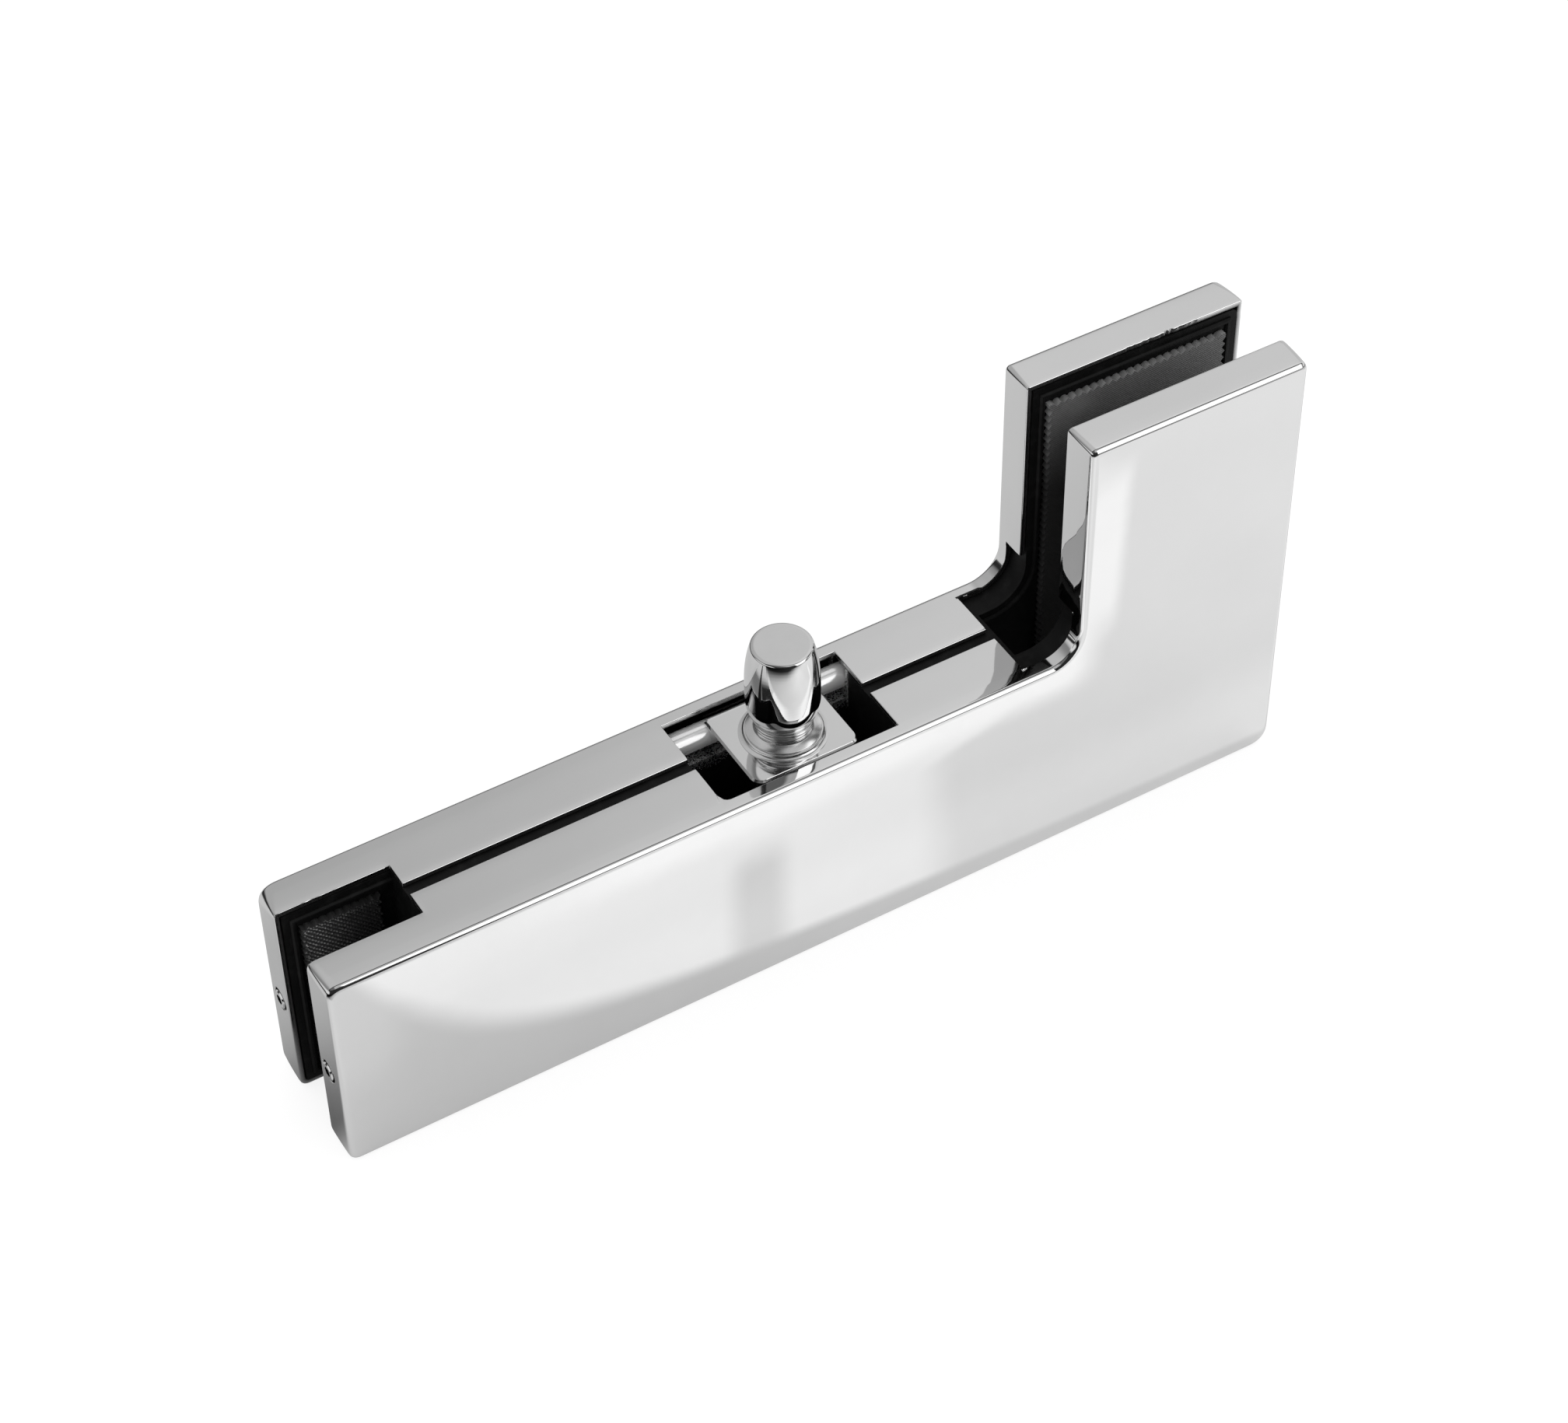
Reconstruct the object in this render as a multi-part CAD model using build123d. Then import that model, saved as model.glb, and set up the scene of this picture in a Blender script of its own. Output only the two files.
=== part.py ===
from build123d import *
import math
import os

# Glass patch fitting, L-shaped, with an adjustable pivot pin, in millimetres.
# X runs along the arm towards the leg, Y runs from the front cover to the rear
# cover with 0 half way between them, and Z is up from the edge it stands on.

# Outline of the covers, seen from the front
LENGTH = 218.0
ARM_HEIGHT = 50.9
LEG_HEIGHT = 105.3
LEG_WIDTH = 51.0
THICKNESS = 31.0

# Corner radii of that outline; the leg's inner top corner is a sharp mitre
ARM_TOP_RADIUS = 1.8
ARM_FOOT_RADIUS = 2.0
HEEL_RADIUS = 3.2
LEG_TOP_RADIUS = 2.6
INNER_CORNER_RADIUS = 7.0

# Corners that come out tighter than this stay sharp
TIGHTEST_CORNER = 0.5

# Pressed covers
SHEET = 1.25
COVER_EDGE_RADIUS = 1.2
FLANGE_GAP = 13.8
SLOT_WIDTH = 3.0
POCKET_LENGTH = 24.4

# Opening in the covers above the pivot block
OPENING_CENTRE = -2.55
OPENING_LENGTH = 39.8
OPENING_WIDTH = 24.0
OPENING_FRONT_RADIUS = 2.0

# Relief of the flanges around the inner corner
RELIEF_ALONG_ARM = 11.2
RELIEF_UP_LEG = 10.0
RELIEF_WIDTH = 23.6

# Cast clamping bodies behind the covers
BODY_CLEARANCE = 0.15
BODY_GAP = 13.4
BEAD_INSET = 1.5
BEAD_WIDTH = 1.2
BEAD_HEIGHT = 0.6
BEAD_BEVEL = 0.35
ISLAND_BOTTOM = 22.0
ISLAND_END_MARGIN = 9.7
ISLAND_CORNER_RADIUS = 3.0
CORE_DEPTH = 4.0
CORE_RADIUS = 2.5
CORE_RIB = 3.0

# Clamping pads with pinked edges
PAD_GAP = 11.0
PAD_RECESS = 0.6
PAD_RECESS_MARGIN = 0.3
TOOTH_PITCH = 1.75
TOOTH_DEPTH = 0.8
PAD_END_MARGIN = 4.6
PAD_TOP_MARGIN = 5.6
PAD_FOOT_MARGIN = 4.0
ARM_PAD_INNER_MARGIN = 3.0
LOWER_PAD_HEIGHT = 14.0
LOWER_PAD_GAP = 3.0

# Pivot block and the rod that it slides on
BLOCK_CENTRE = -1.7
BLOCK_LENGTH = 24.0
BLOCK_WIDTH = 20.0
BLOCK_TOP_DEPTH = 2.0
BLOCK_HEIGHT = 22.4
BLOCK_CORNER_RADIUS = 2.5
BLOCK_EDGE_BEVEL = 0.4
BLOCK_SIDE_CLEARANCE = 0.3
BLOCK_FLOOR_CLEARANCE = 0.5
ROD_RADIUS = 2.6
ROD_SETBACK = 10.5
ROD_DROP = 3.4
ROD_RUNNING_CLEARANCE = 0.05
ROD_SLOT_LENGTH = 5.0
ROD_END_CLEARANCE = 0.2
ROD_CHAMFER = 0.4
KNUCKLE_RADIUS = 3.4
KNUCKLE_SETBACK = 0.8
KNUCKLE_CLEARANCE = 0.3
LEDGE_FRONT = 7.4
GUIDE_LIP_DROP = 6.5

# Turned pivot pin, heights above the block's top
PIN_LAND_RADIUS = 7.5
PIN_LAND_FROM = 10.3
PIN_LAND_LENGTH = 3.0
PIN_HEIGHT = 23.8
PIN_TOP_RADIUS = 6.3
PIN_TOP_BEVEL = 0.5
PIN_NECK_RADIUS = 5.95
PIN_NECK_TOP = 4.6
PIN_COLLAR_RADIUS = 7.6
PIN_COLLAR_EDGE = 1.4
PIN_COLLAR_CONE = 0.6
PIN_STEM_RADIUS = 5.0
PIN_STEM_LENGTH = 18.0

# Flanged bush around the pin's stem
BUSH_FOOT_RADIUS = 9.0
BUSH_RIM_RADIUS = 7.9
BUSH_RIM_HEIGHT = 1.0
BUSH_SLEEVE_RADIUS = 6.5
BUSH_SLEEVE_LENGTH = 12.0

# Low-head socket screws that draw the two bodies together
CLAMP_SHANK_RADIUS = 4.0
CLAMP_SHANK_LENGTH = 21.0
CLAMP_HEAD_RADIUS = 6.5
CLAMP_HEAD_HEIGHT = 5.0
CLAMP_HEAD_SINK = 0.2
CLAMP_SOCKET_FLATS = 5.0
CLAMP_SOCKET_DEPTH = 3.0
CLAMP_HOLE_CLEARANCE = 0.3
CLAMP_HEAD_CLEARANCE = 0.4
CLAMP_THREAD_SPARE = 0.4
ARM_CLAMP_HEIGHT = 35.5
LEG_CLAMP_HEIGHT = 66.0
LEG_BUSH_RADIUS = 7.0
LEG_BUSH_CLEARANCE = 0.3

# Grub screws that hold the covers to the bodies
COVER_SCREW_RADIUS = 2.0
COVER_SCREW_LENGTH = 7.0
COVER_SCREW_STAND = 0.25
COVER_SCREW_SOCKET = 2.0
COVER_SCREW_SOCKET_DEPTH = 2.0
COVER_SCREW_CLEARANCE = 0.1
COVER_SCREW_HEIGHT = 23.2
COVER_SCREW_OFFSET = 10.5

# Play of a piece in the seat that holds it
SEAT_PLAY = 0.02

# How far a cutter runs past the face that it cuts
OVERCUT = 1.0

FRONT, REAR = -1, 1
LEFT, RIGHT = -1, 1

half_length = LENGTH / 2
half_thickness = THICKNESS / 2
leg_inner_x = half_length - LEG_WIDTH
pocket_end_x = -half_length + POCKET_LENGTH
relief_x = leg_inner_x - RELIEF_ALONG_ARM
relief_z = ARM_HEIGHT + RELIEF_UP_LEG
opening_left = OPENING_CENTRE - OPENING_LENGTH / 2
opening_right = OPENING_CENTRE + OPENING_LENGTH / 2
body_inset = SHEET + BODY_CLEARANCE
body_far = half_thickness - SHEET
body_near = BODY_GAP / 2
body_top = ARM_HEIGHT - body_inset
island_right = leg_inner_x - ISLAND_END_MARGIN
block_top = ARM_HEIGHT - BLOCK_TOP_DEPTH
block_bottom = block_top - BLOCK_HEIGHT
rod_z = block_top - ROD_DROP
ledge_top = rod_z - KNUCKLE_RADIUS - KNUCKLE_CLEARANCE
pad_near = PAD_GAP / 2
pad_far = body_near + PAD_RECESS
arm_clamp_offset = (island_right - opening_right) / 2
leg_clamp_x = half_length - LEG_WIDTH / 2
clamp_top = body_far - CLAMP_HEAD_SINK
clamp_seat = clamp_top - CLAMP_HEAD_HEIGHT


def slab(sketch, side, near, far):
    """Thicken an outline drawn in X and Z between two distances from the middle plane."""
    high = max(side * near, side * far)
    return extrude(Plane.XZ.offset(-high) * sketch, abs(far - near))


def panel(x_low, x_high, z_low, z_high):
    """Rectangle in X and Z, given by its corners."""
    width, height = x_high - x_low, z_high - z_low
    return Pos((x_low + x_high) / 2, (z_low + z_high) / 2) * Rectangle(width, height)


def rounded_panel(x_low, x_high, z_low, z_high, radius):
    """Rectangle in X and Z with rounded corners."""
    width, height = x_high - x_low, z_high - z_low
    return Pos((x_low + x_high) / 2, (z_low + z_high) / 2) * RectangleRounded(width, height, radius)


def bar_along_x(x_low, x_high, y, z, radius):
    """Round bar along X."""
    return Pos((x_low + x_high) / 2, y, z) * Rot(0, 90, 0) * Cylinder(radius, x_high - x_low)


def bar_along_y(x, z, y_low, y_high, radius):
    """Round bar along Y."""
    return Pos(x, (y_low + y_high) / 2, z) * Rot(90, 0, 0) * Cylinder(radius, y_high - y_low)


def patch_outline(inset):
    """The L-shaped outline in X and Z, drawn in by an inset with its corners kept concentric."""
    left, right, foot = -half_length + inset, half_length - inset, inset
    arm_top, leg_top, leg_inner = ARM_HEIGHT - inset, LEG_HEIGHT - inset, leg_inner_x + inset
    shape = make_face(Polyline((left, foot), (right, foot), (right, leg_top), (leg_inner, leg_top),
                               (leg_inner, arm_top), (left, arm_top), close=True))
    rounding = [
        ((left, foot), ARM_FOOT_RADIUS - inset),
        ((right, foot), HEEL_RADIUS - inset),
        ((right, leg_top), LEG_TOP_RADIUS - inset),
        ((leg_inner, arm_top), INNER_CORNER_RADIUS + inset),
        ((left, arm_top), ARM_TOP_RADIUS - inset),
    ]
    for corner, radius in rounding:
        if radius > TIGHTEST_CORNER:
            shape = fillet(shape.vertices().sort_by_distance((*corner, 0))[0], radius)
    return shape


def cover(side):
    """Pressed cover: an L-shaped face with flanges turned in towards the other cover."""
    shell = slab(patch_outline(0), side, SLOT_WIDTH / 2, half_thickness)
    face_edges = shell.edges().group_by(Axis.Y)[0 if side == FRONT else -1]
    shell = fillet(face_edges, COVER_EDGE_RADIUS)
    shell -= slab(patch_outline(SHEET), side, 0, half_thickness - SHEET)

    # The flanges stand back by the glass gap, except along the closed top of the arm
    glass_edge = FLANGE_GAP / 2
    top = LEG_HEIGHT + OVERCUT
    left, right = -half_length - OVERCUT, half_length + OVERCUT
    shell -= slab(panel(left, pocket_end_x, -OVERCUT, top), side, 0, glass_edge)
    shell -= slab(panel(left, right, -OVERCUT, ARM_HEIGHT / 2), side, 0, glass_edge)
    shell -= slab(panel(relief_x, right, -OVERCUT, top), side, 0, glass_edge)

    # Relief around the inner corner
    corner_reach = INNER_CORNER_RADIUS / 2
    relief = panel(relief_x, leg_inner_x + corner_reach, ARM_HEIGHT - corner_reach, relief_z)
    shell -= slab(relief, side, 0, RELIEF_WIDTH / 2)

    # Opening over the pivot block, with one rounded corner on the front cover
    window = panel(opening_left, opening_right, body_top, ARM_HEIGHT + OVERCUT)
    window = slab(window, side, 0, OPENING_WIDTH / 2)
    if side == FRONT:
        corner = (opening_left, -OPENING_WIDTH / 2, ARM_HEIGHT)
        upright = window.edges().filter_by(Axis.Z).sort_by_distance(corner)[0]
        window = fillet(upright, OPENING_FRONT_RADIUS)
    shell -= window

    # Holes in the two end walls for the grub screws
    hole_radius = COVER_SCREW_RADIUS + COVER_SCREW_CLEARANCE
    for end in (LEFT, RIGHT):
        hole = bar_along_x(-OVERCUT - SHEET, SHEET + OVERCUT, side * COVER_SCREW_OFFSET,
                           COVER_SCREW_HEIGHT, hole_radius)
        shell -= Pos(end * half_length, 0, 0) * hole
    return shell


def pinked_outline(x_low, x_high, z_low, z_high):
    """Rectangle whose edges are cut in zigzag teeth, each side with a whole number of them."""
    corners = [(x_low, z_low), (x_high, z_low), (x_high, z_high), (x_low, z_high)]
    points = []
    for index, start in enumerate(corners):
        end = corners[(index + 1) % 4]
        side_length = math.dist(start, end)
        teeth = max(1, round(side_length / TOOTH_PITCH))
        along = ((end[0] - start[0]) / teeth, (end[1] - start[1]) / teeth)
        inward = (-along[1] / math.hypot(*along), along[0] / math.hypot(*along))
        for tooth in range(teeth):
            root = (start[0] + along[0] * tooth, start[1] + along[1] * tooth)
            notch = 0 if tooth == 0 else TOOTH_DEPTH
            points.append((root[0] + inward[0] * notch, root[1] + inward[1] * notch))
            points.append((root[0] + along[0] / 2, root[1] + along[1] / 2))
    return make_face(Polyline(*points, close=True))


# Places of the pads on the glass faces: low X, high X, low Z, high Z
arm_pad = (-half_length + PAD_END_MARGIN, pocket_end_x - ARM_PAD_INNER_MARGIN,
           PAD_FOOT_MARGIN, ARM_HEIGHT - PAD_TOP_MARGIN)
leg_pad = (leg_inner_x + PAD_END_MARGIN, half_length - PAD_END_MARGIN,
           PAD_FOOT_MARGIN, LEG_HEIGHT - PAD_TOP_MARGIN)
lower_pad = (arm_pad[1] + LOWER_PAD_GAP, leg_pad[0] - LOWER_PAD_GAP,
             PAD_FOOT_MARGIN, PAD_FOOT_MARGIN + LOWER_PAD_HEIGHT)


def pad(side, place, pinked=True):
    """Clamping pad, let into the body's glass face and standing proud of it."""
    outline = pinked_outline(*place) if pinked else panel(*place)
    solid = slab(outline, side, pad_near, pad_far)
    if place is leg_pad:
        radius = LEG_BUSH_RADIUS + LEG_BUSH_CLEARANCE
        solid -= bar_along_y(leg_clamp_x, LEG_CLAMP_HEIGHT, -half_thickness, half_thickness, radius)
    return solid


# Places of the clamp screws: X, Z
clamp_places = {
    "left": (opening_left - arm_clamp_offset, ARM_CLAMP_HEIGHT),
    "right": (opening_right + arm_clamp_offset, ARM_CLAMP_HEIGHT),
    "leg": (leg_clamp_x, LEG_CLAMP_HEIGHT),
}


def core_places():
    """Cored pockets in the back of a casting, kept clear of the screws by a rib."""
    rib = CORE_RIB + body_inset
    screw_room = CLAMP_HEAD_RADIUS + CLAMP_HEAD_CLEARANCE + CORE_RIB
    end_room = COVER_SCREW_LENGTH + CORE_RIB
    arm_top = body_top - CORE_RIB
    left_screw, right_screw = clamp_places["left"][0], clamp_places["right"][0]
    pivot_room = OPENING_LENGTH / 2 + CORE_RIB
    return [
        (-half_length + end_room, pocket_end_x, rib, arm_top),
        (pocket_end_x + CORE_RIB, left_screw - screw_room, rib, arm_top),
        (OPENING_CENTRE - pivot_room, OPENING_CENTRE + pivot_room, rib, ISLAND_BOTTOM),
        (right_screw + screw_room, leg_inner_x, rib, arm_top),
        (leg_inner_x + rib, half_length - end_room, rib, LEG_CLAMP_HEIGHT - screw_room),
        (leg_inner_x + rib, half_length - rib, LEG_CLAMP_HEIGHT + screw_room, LEG_HEIGHT - rib),
    ]


def casting(side):
    """What the two bodies share: the plate, its bead, the island and the pad recesses."""
    body = slab(patch_outline(body_inset), side, body_near, body_far)
    rim = patch_outline(body_inset + BEAD_INSET) - patch_outline(body_inset + BEAD_INSET + BEAD_WIDTH)
    bead = slab(rim, side, body_near - BEAD_HEIGHT, body_near)
    crest = bead.edges().group_by(Axis.Y)[-1 if side == FRONT else 0]
    body += chamfer(crest, BEAD_BEVEL)

    # The island fills the gap between the covers where there is no glass
    island = rounded_panel(pocket_end_x, island_right, ISLAND_BOTTOM,
                           body_top + ISLAND_CORNER_RADIUS, ISLAND_CORNER_RADIUS)
    island &= panel(pocket_end_x, island_right, ISLAND_BOTTOM, body_top)
    body += slab(island, side, 0, body_far)

    for place in (arm_pad, leg_pad, lower_pad):
        x_low, x_high, z_low, z_high = place
        margin = PAD_RECESS_MARGIN
        recess = panel(x_low - margin, x_high + margin, z_low - margin, z_high + margin)
        body -= slab(recess, side, body_near - BEAD_HEIGHT, pad_far)

    for x_low, x_high, z_low, z_high in core_places():
        core = rounded_panel(x_low, x_high, z_low, z_high, CORE_RADIUS)
        body -= slab(core, side, body_far - CORE_DEPTH, body_far + OVERCUT)

    for end in (LEFT, RIGHT):
        tip = half_length + COVER_SCREW_STAND - COVER_SCREW_LENGTH
        hole = bar_along_x(tip, half_length, side * COVER_SCREW_OFFSET,
                           COVER_SCREW_HEIGHT, COVER_SCREW_RADIUS)
        body -= hole if end == RIGHT else mirror(hole, Plane.YZ)
    return body


def front_body():
    """Front casting: pocket wall, guide lip for the block, and counterbored screw holes."""
    body = casting(FRONT)
    pocket_floor = block_bottom - BLOCK_FLOOR_CLEARANCE
    lip_top = block_top - GUIDE_LIP_DROP
    lip_reach = BLOCK_WIDTH / 2 + BLOCK_SIDE_CLEARANCE
    body -= slab(panel(opening_left, opening_right, pocket_floor, lip_top), FRONT, 0, lip_reach)
    body -= slab(panel(opening_left, opening_right, lip_top, ARM_HEIGHT), FRONT, 0, OPENING_WIDTH / 2)
    for x, z in clamp_places.values():
        body -= bar_along_y(x, z, -half_thickness, 0, CLAMP_SHANK_RADIUS + CLAMP_HOLE_CLEARANCE)
        body -= bar_along_y(x, z, -half_thickness, -clamp_seat, CLAMP_HEAD_RADIUS + CLAMP_HEAD_CLEARANCE)
    return body


def rear_body():
    """Rear casting: stepped pocket with a ledge under the rod, rod slots and threaded holes."""
    body = casting(REAR)
    pocket_floor = block_bottom - BLOCK_FLOOR_CLEARANCE
    body -= slab(panel(opening_left, opening_right, pocket_floor, ARM_HEIGHT), REAR, 0, LEDGE_FRONT)
    body -= slab(panel(opening_left, opening_right, ledge_top, ARM_HEIGHT), REAR, 0, half_thickness)

    # The rod's ends lie in slots that are open at the top and closed by the cover
    slot_left, slot_right = opening_left - ROD_SLOT_LENGTH, opening_right + ROD_SLOT_LENGTH
    slot_radius = ROD_RADIUS + SEAT_PLAY
    body -= bar_along_x(slot_left, slot_right, ROD_SETBACK, rod_z, slot_radius)
    mouth = panel(slot_left, slot_right, rod_z, ARM_HEIGHT)
    body -= slab(mouth, REAR, ROD_SETBACK - slot_radius, ROD_SETBACK + slot_radius)

    for x, z in clamp_places.values():
        depth = CLAMP_SHANK_LENGTH - clamp_seat + CLAMP_THREAD_SPARE
        body -= bar_along_y(x, z, 0, depth, CLAMP_SHANK_RADIUS + SEAT_PLAY)
    return body


def guide_rod():
    """Round rod across the pocket, on which the pivot block slides."""
    low = opening_left - ROD_SLOT_LENGTH + ROD_END_CLEARANCE
    high = opening_right + ROD_SLOT_LENGTH - ROD_END_CLEARANCE
    rod = bar_along_x(low, high, ROD_SETBACK, rod_z, ROD_RADIUS)
    return chamfer(rod.edges().filter_by(GeomType.CIRCLE), ROD_CHAMFER)


def pivot_block():
    """Cast block with a bored knuckle along its rear edge that rides on the rod."""
    lower_rear = LEDGE_FRONT - BLOCK_SIDE_CLEARANCE
    front = -BLOCK_WIDTH / 2
    low, high = BLOCK_CENTRE - BLOCK_LENGTH / 2, BLOCK_CENTRE + BLOCK_LENGTH / 2
    main = Pos(BLOCK_CENTRE, (front + lower_rear) / 2, (block_bottom + block_top) / 2) * Box(
        BLOCK_LENGTH, lower_rear - front, BLOCK_HEIGHT)
    front_uprights = main.edges().filter_by(Axis.Z).group_by(Axis.Y)[0]
    main = fillet(front_uprights, BLOCK_CORNER_RADIUS)

    # The upper rear part reaches back over the ledge to the knuckle
    reach_bottom = rod_z - KNUCKLE_RADIUS
    reach = Pos(BLOCK_CENTRE, (lower_rear + ROD_SETBACK) / 2, (reach_bottom + block_top) / 2) * Box(
        BLOCK_LENGTH, ROD_SETBACK - lower_rear, block_top - reach_bottom)
    block = main + reach
    top_edges = block.faces().sort_by(Axis.Z)[-1].edges()
    block = chamfer(top_edges, BLOCK_EDGE_BEVEL)
    knuckle_left, knuckle_right = low + KNUCKLE_SETBACK, high - KNUCKLE_SETBACK
    block += bar_along_x(knuckle_left, knuckle_right, ROD_SETBACK, rod_z, KNUCKLE_RADIUS)
    bore_radius = ROD_RADIUS + ROD_RUNNING_CLEARANCE
    block -= bar_along_x(low - OVERCUT, high + OVERCUT, ROD_SETBACK, rod_z, bore_radius)

    # Bore for the bush, and below it for the pin's stem
    sleeve_bottom = block_top - BUSH_SLEEVE_LENGTH
    block -= Pos(BLOCK_CENTRE, 0, (sleeve_bottom + ARM_HEIGHT) / 2) * Cylinder(
        BUSH_SLEEVE_RADIUS, ARM_HEIGHT - sleeve_bottom)
    block -= Pos(BLOCK_CENTRE, 0, block_top - PIN_STEM_LENGTH / 2) * Cylinder(
        PIN_STEM_RADIUS, PIN_STEM_LENGTH)
    return block


def turned(outline_points):
    """Solid turned about the pin's axis from edges or points given as radius and height."""
    profile = Plane.XZ * make_face(outline_points)
    return Pos(BLOCK_CENTRE, 0, block_top) * revolve(profile, Axis.Z)


def pivot_bush():
    """Flanged bush pressed into the block, with a flared foot."""
    return turned(Polyline(
        (PIN_STEM_RADIUS, -BUSH_SLEEVE_LENGTH), (BUSH_SLEEVE_RADIUS, -BUSH_SLEEVE_LENGTH),
        (BUSH_SLEEVE_RADIUS, 0), (BUSH_FOOT_RADIUS, 0), (BUSH_RIM_RADIUS, BUSH_RIM_HEIGHT),
        (PIN_STEM_RADIUS, BUSH_RIM_HEIGHT), close=True))


def pivot_pin():
    """Barrel-shaped pin with a true cylindrical land at its widest, a neck and a collar."""
    land_top = PIN_LAND_FROM + PIN_LAND_LENGTH
    top_edge = PIN_HEIGHT - PIN_TOP_BEVEL
    shoulder = PIN_COLLAR_EDGE + PIN_COLLAR_CONE
    neck_start = (PIN_NECK_RADIUS, PIN_NECK_TOP)
    lower = Polyline(
        (0, -PIN_STEM_LENGTH), (PIN_STEM_RADIUS, -PIN_STEM_LENGTH), (PIN_STEM_RADIUS, BUSH_RIM_HEIGHT),
        (PIN_COLLAR_RADIUS, BUSH_RIM_HEIGHT), (PIN_COLLAR_RADIUS, PIN_COLLAR_EDGE),
        (PIN_NECK_RADIUS, shoulder), neck_start)
    swell = TangentArc((PIN_LAND_RADIUS, PIN_LAND_FROM), neck_start, tangent=(0, -1))
    land = Line((PIN_LAND_RADIUS, PIN_LAND_FROM), (PIN_LAND_RADIUS, land_top))
    taper = TangentArc((PIN_LAND_RADIUS, land_top), (PIN_TOP_RADIUS, top_edge), tangent=(0, 1))
    cap = Polyline((PIN_TOP_RADIUS, top_edge), (PIN_TOP_RADIUS - PIN_TOP_BEVEL, PIN_HEIGHT),
                   (0, PIN_HEIGHT), (0, -PIN_STEM_LENGTH))
    return turned([lower, swell, land, taper, cap])


def clamp_screw(x, z):
    """Low-head socket screw, its head in the front body and its thread in the rear one."""
    head = bar_along_y(x, z, -clamp_top, -clamp_seat, CLAMP_HEAD_RADIUS)
    shank = bar_along_y(x, z, -clamp_seat, CLAMP_SHANK_LENGTH - clamp_seat, CLAMP_SHANK_RADIUS)
    socket = slab(Pos(x, z) * RegularPolygon(CLAMP_SOCKET_FLATS / 2, 6, major_radius=False),
                  FRONT, clamp_top - CLAMP_SOCKET_DEPTH, clamp_top)
    return head + shank - socket


def leg_bush():
    """Plastic bush around the leg's clamp screw, where it passes the glass."""
    sleeve = bar_along_y(leg_clamp_x, LEG_CLAMP_HEIGHT, -pad_far, pad_far, LEG_BUSH_RADIUS)
    bore_radius = CLAMP_SHANK_RADIUS + CLAMP_HOLE_CLEARANCE
    return sleeve - bar_along_y(leg_clamp_x, LEG_CLAMP_HEIGHT, -pad_far, pad_far, bore_radius)


def cover_screw(side, end):
    """Grub screw with a hex socket, through the cover's end wall into the body."""
    tip = half_length + COVER_SCREW_STAND
    thread = bar_along_x(tip - COVER_SCREW_LENGTH, tip, side * COVER_SCREW_OFFSET,
                         COVER_SCREW_HEIGHT, COVER_SCREW_RADIUS)
    rim = thread.edges().filter_by(GeomType.CIRCLE).sort_by(Axis.X)[-1]
    thread = chamfer(rim, COVER_SCREW_STAND)
    flats = RegularPolygon(COVER_SCREW_SOCKET / 2, 6, major_radius=False)
    socket_plane = Plane.YZ.offset(tip) * Pos(side * COVER_SCREW_OFFSET, COVER_SCREW_HEIGHT)
    screw = thread - extrude(socket_plane * flats, -COVER_SCREW_SOCKET_DEPTH)
    return screw if end == RIGHT else mirror(screw, Plane.YZ)


def build():
    """Every piece of the fitting, by node name."""
    pieces = {
        "front_cover": cover(FRONT),
        "rear_cover": cover(REAR),
        "front_body": front_body(),
        "rear_body": rear_body(),
        "pivot_block": pivot_block(),
        "pivot_bush": pivot_bush(),
        "pivot_pin": pivot_pin(),
        "guide_rod": guide_rod(),
        "leg_bush": leg_bush(),
    }
    for side, side_name in ((FRONT, "front"), (REAR, "rear")):
        pieces[f"{side_name}_arm_pad"] = pad(side, arm_pad)
        pieces[f"{side_name}_leg_pad"] = pad(side, leg_pad)
        pieces[f"{side_name}_lower_pad"] = pad(side, lower_pad, pinked=False)
        for end, end_name in ((LEFT, "left"), (RIGHT, "right")):
            pieces[f"{side_name}_cover_screw_{end_name}"] = cover_screw(side, end)
    for place_name, (x, z) in clamp_places.items():
        pieces[f"clamp_screw_{place_name}"] = clamp_screw(x, z)
    return pieces


os.makedirs("parts", exist_ok=True)
for node, shape in build().items():
    export_step(shape, f"parts/{node}.step")
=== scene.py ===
"""Looks of an L-shaped glass patch fitting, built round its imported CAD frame.

X runs along the arm towards the leg, Y from the front cover to the rear cover with 0 half way
between them, and Z is up. Sizes in the classes are in millimetres, and every mesh is in metres.
"""

import logging
import math
from dataclasses import dataclass, field
from enum import Enum
from typing import Any, Callable, Sequence

import bmesh
import bpy
import numpy as np
from mathutils import Matrix, Vector


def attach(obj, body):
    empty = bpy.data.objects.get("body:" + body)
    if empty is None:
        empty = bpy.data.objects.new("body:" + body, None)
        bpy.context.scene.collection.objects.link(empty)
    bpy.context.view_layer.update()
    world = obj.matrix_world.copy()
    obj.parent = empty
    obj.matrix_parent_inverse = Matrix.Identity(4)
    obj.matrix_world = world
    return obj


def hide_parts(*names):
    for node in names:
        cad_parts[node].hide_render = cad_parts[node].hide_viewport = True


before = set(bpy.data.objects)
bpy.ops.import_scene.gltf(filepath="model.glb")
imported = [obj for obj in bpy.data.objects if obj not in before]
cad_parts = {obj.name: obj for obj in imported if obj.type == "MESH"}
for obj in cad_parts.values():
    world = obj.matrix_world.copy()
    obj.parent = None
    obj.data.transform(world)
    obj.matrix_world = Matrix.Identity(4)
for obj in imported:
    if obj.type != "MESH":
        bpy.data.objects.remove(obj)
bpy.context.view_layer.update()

MM = 0.001
TAU = 2 * math.pi
FITTING = "fitting"
CARRIAGE = "pivot_carriage"
# Attribute of the points on a cover's inside that get painted shade.
INSIDE_SHADE = "inside_shade"
# Points of an outline closer than this are at the same place.
NEAR = 0.01

Pair = tuple[float, float]
Colour = tuple[float, float, float, float]
# A worn place's X and Z, how far it reaches and how deep it is.
Nick = tuple[float, float, float, float]

log = logging.getLogger("patch_fitting")


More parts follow.
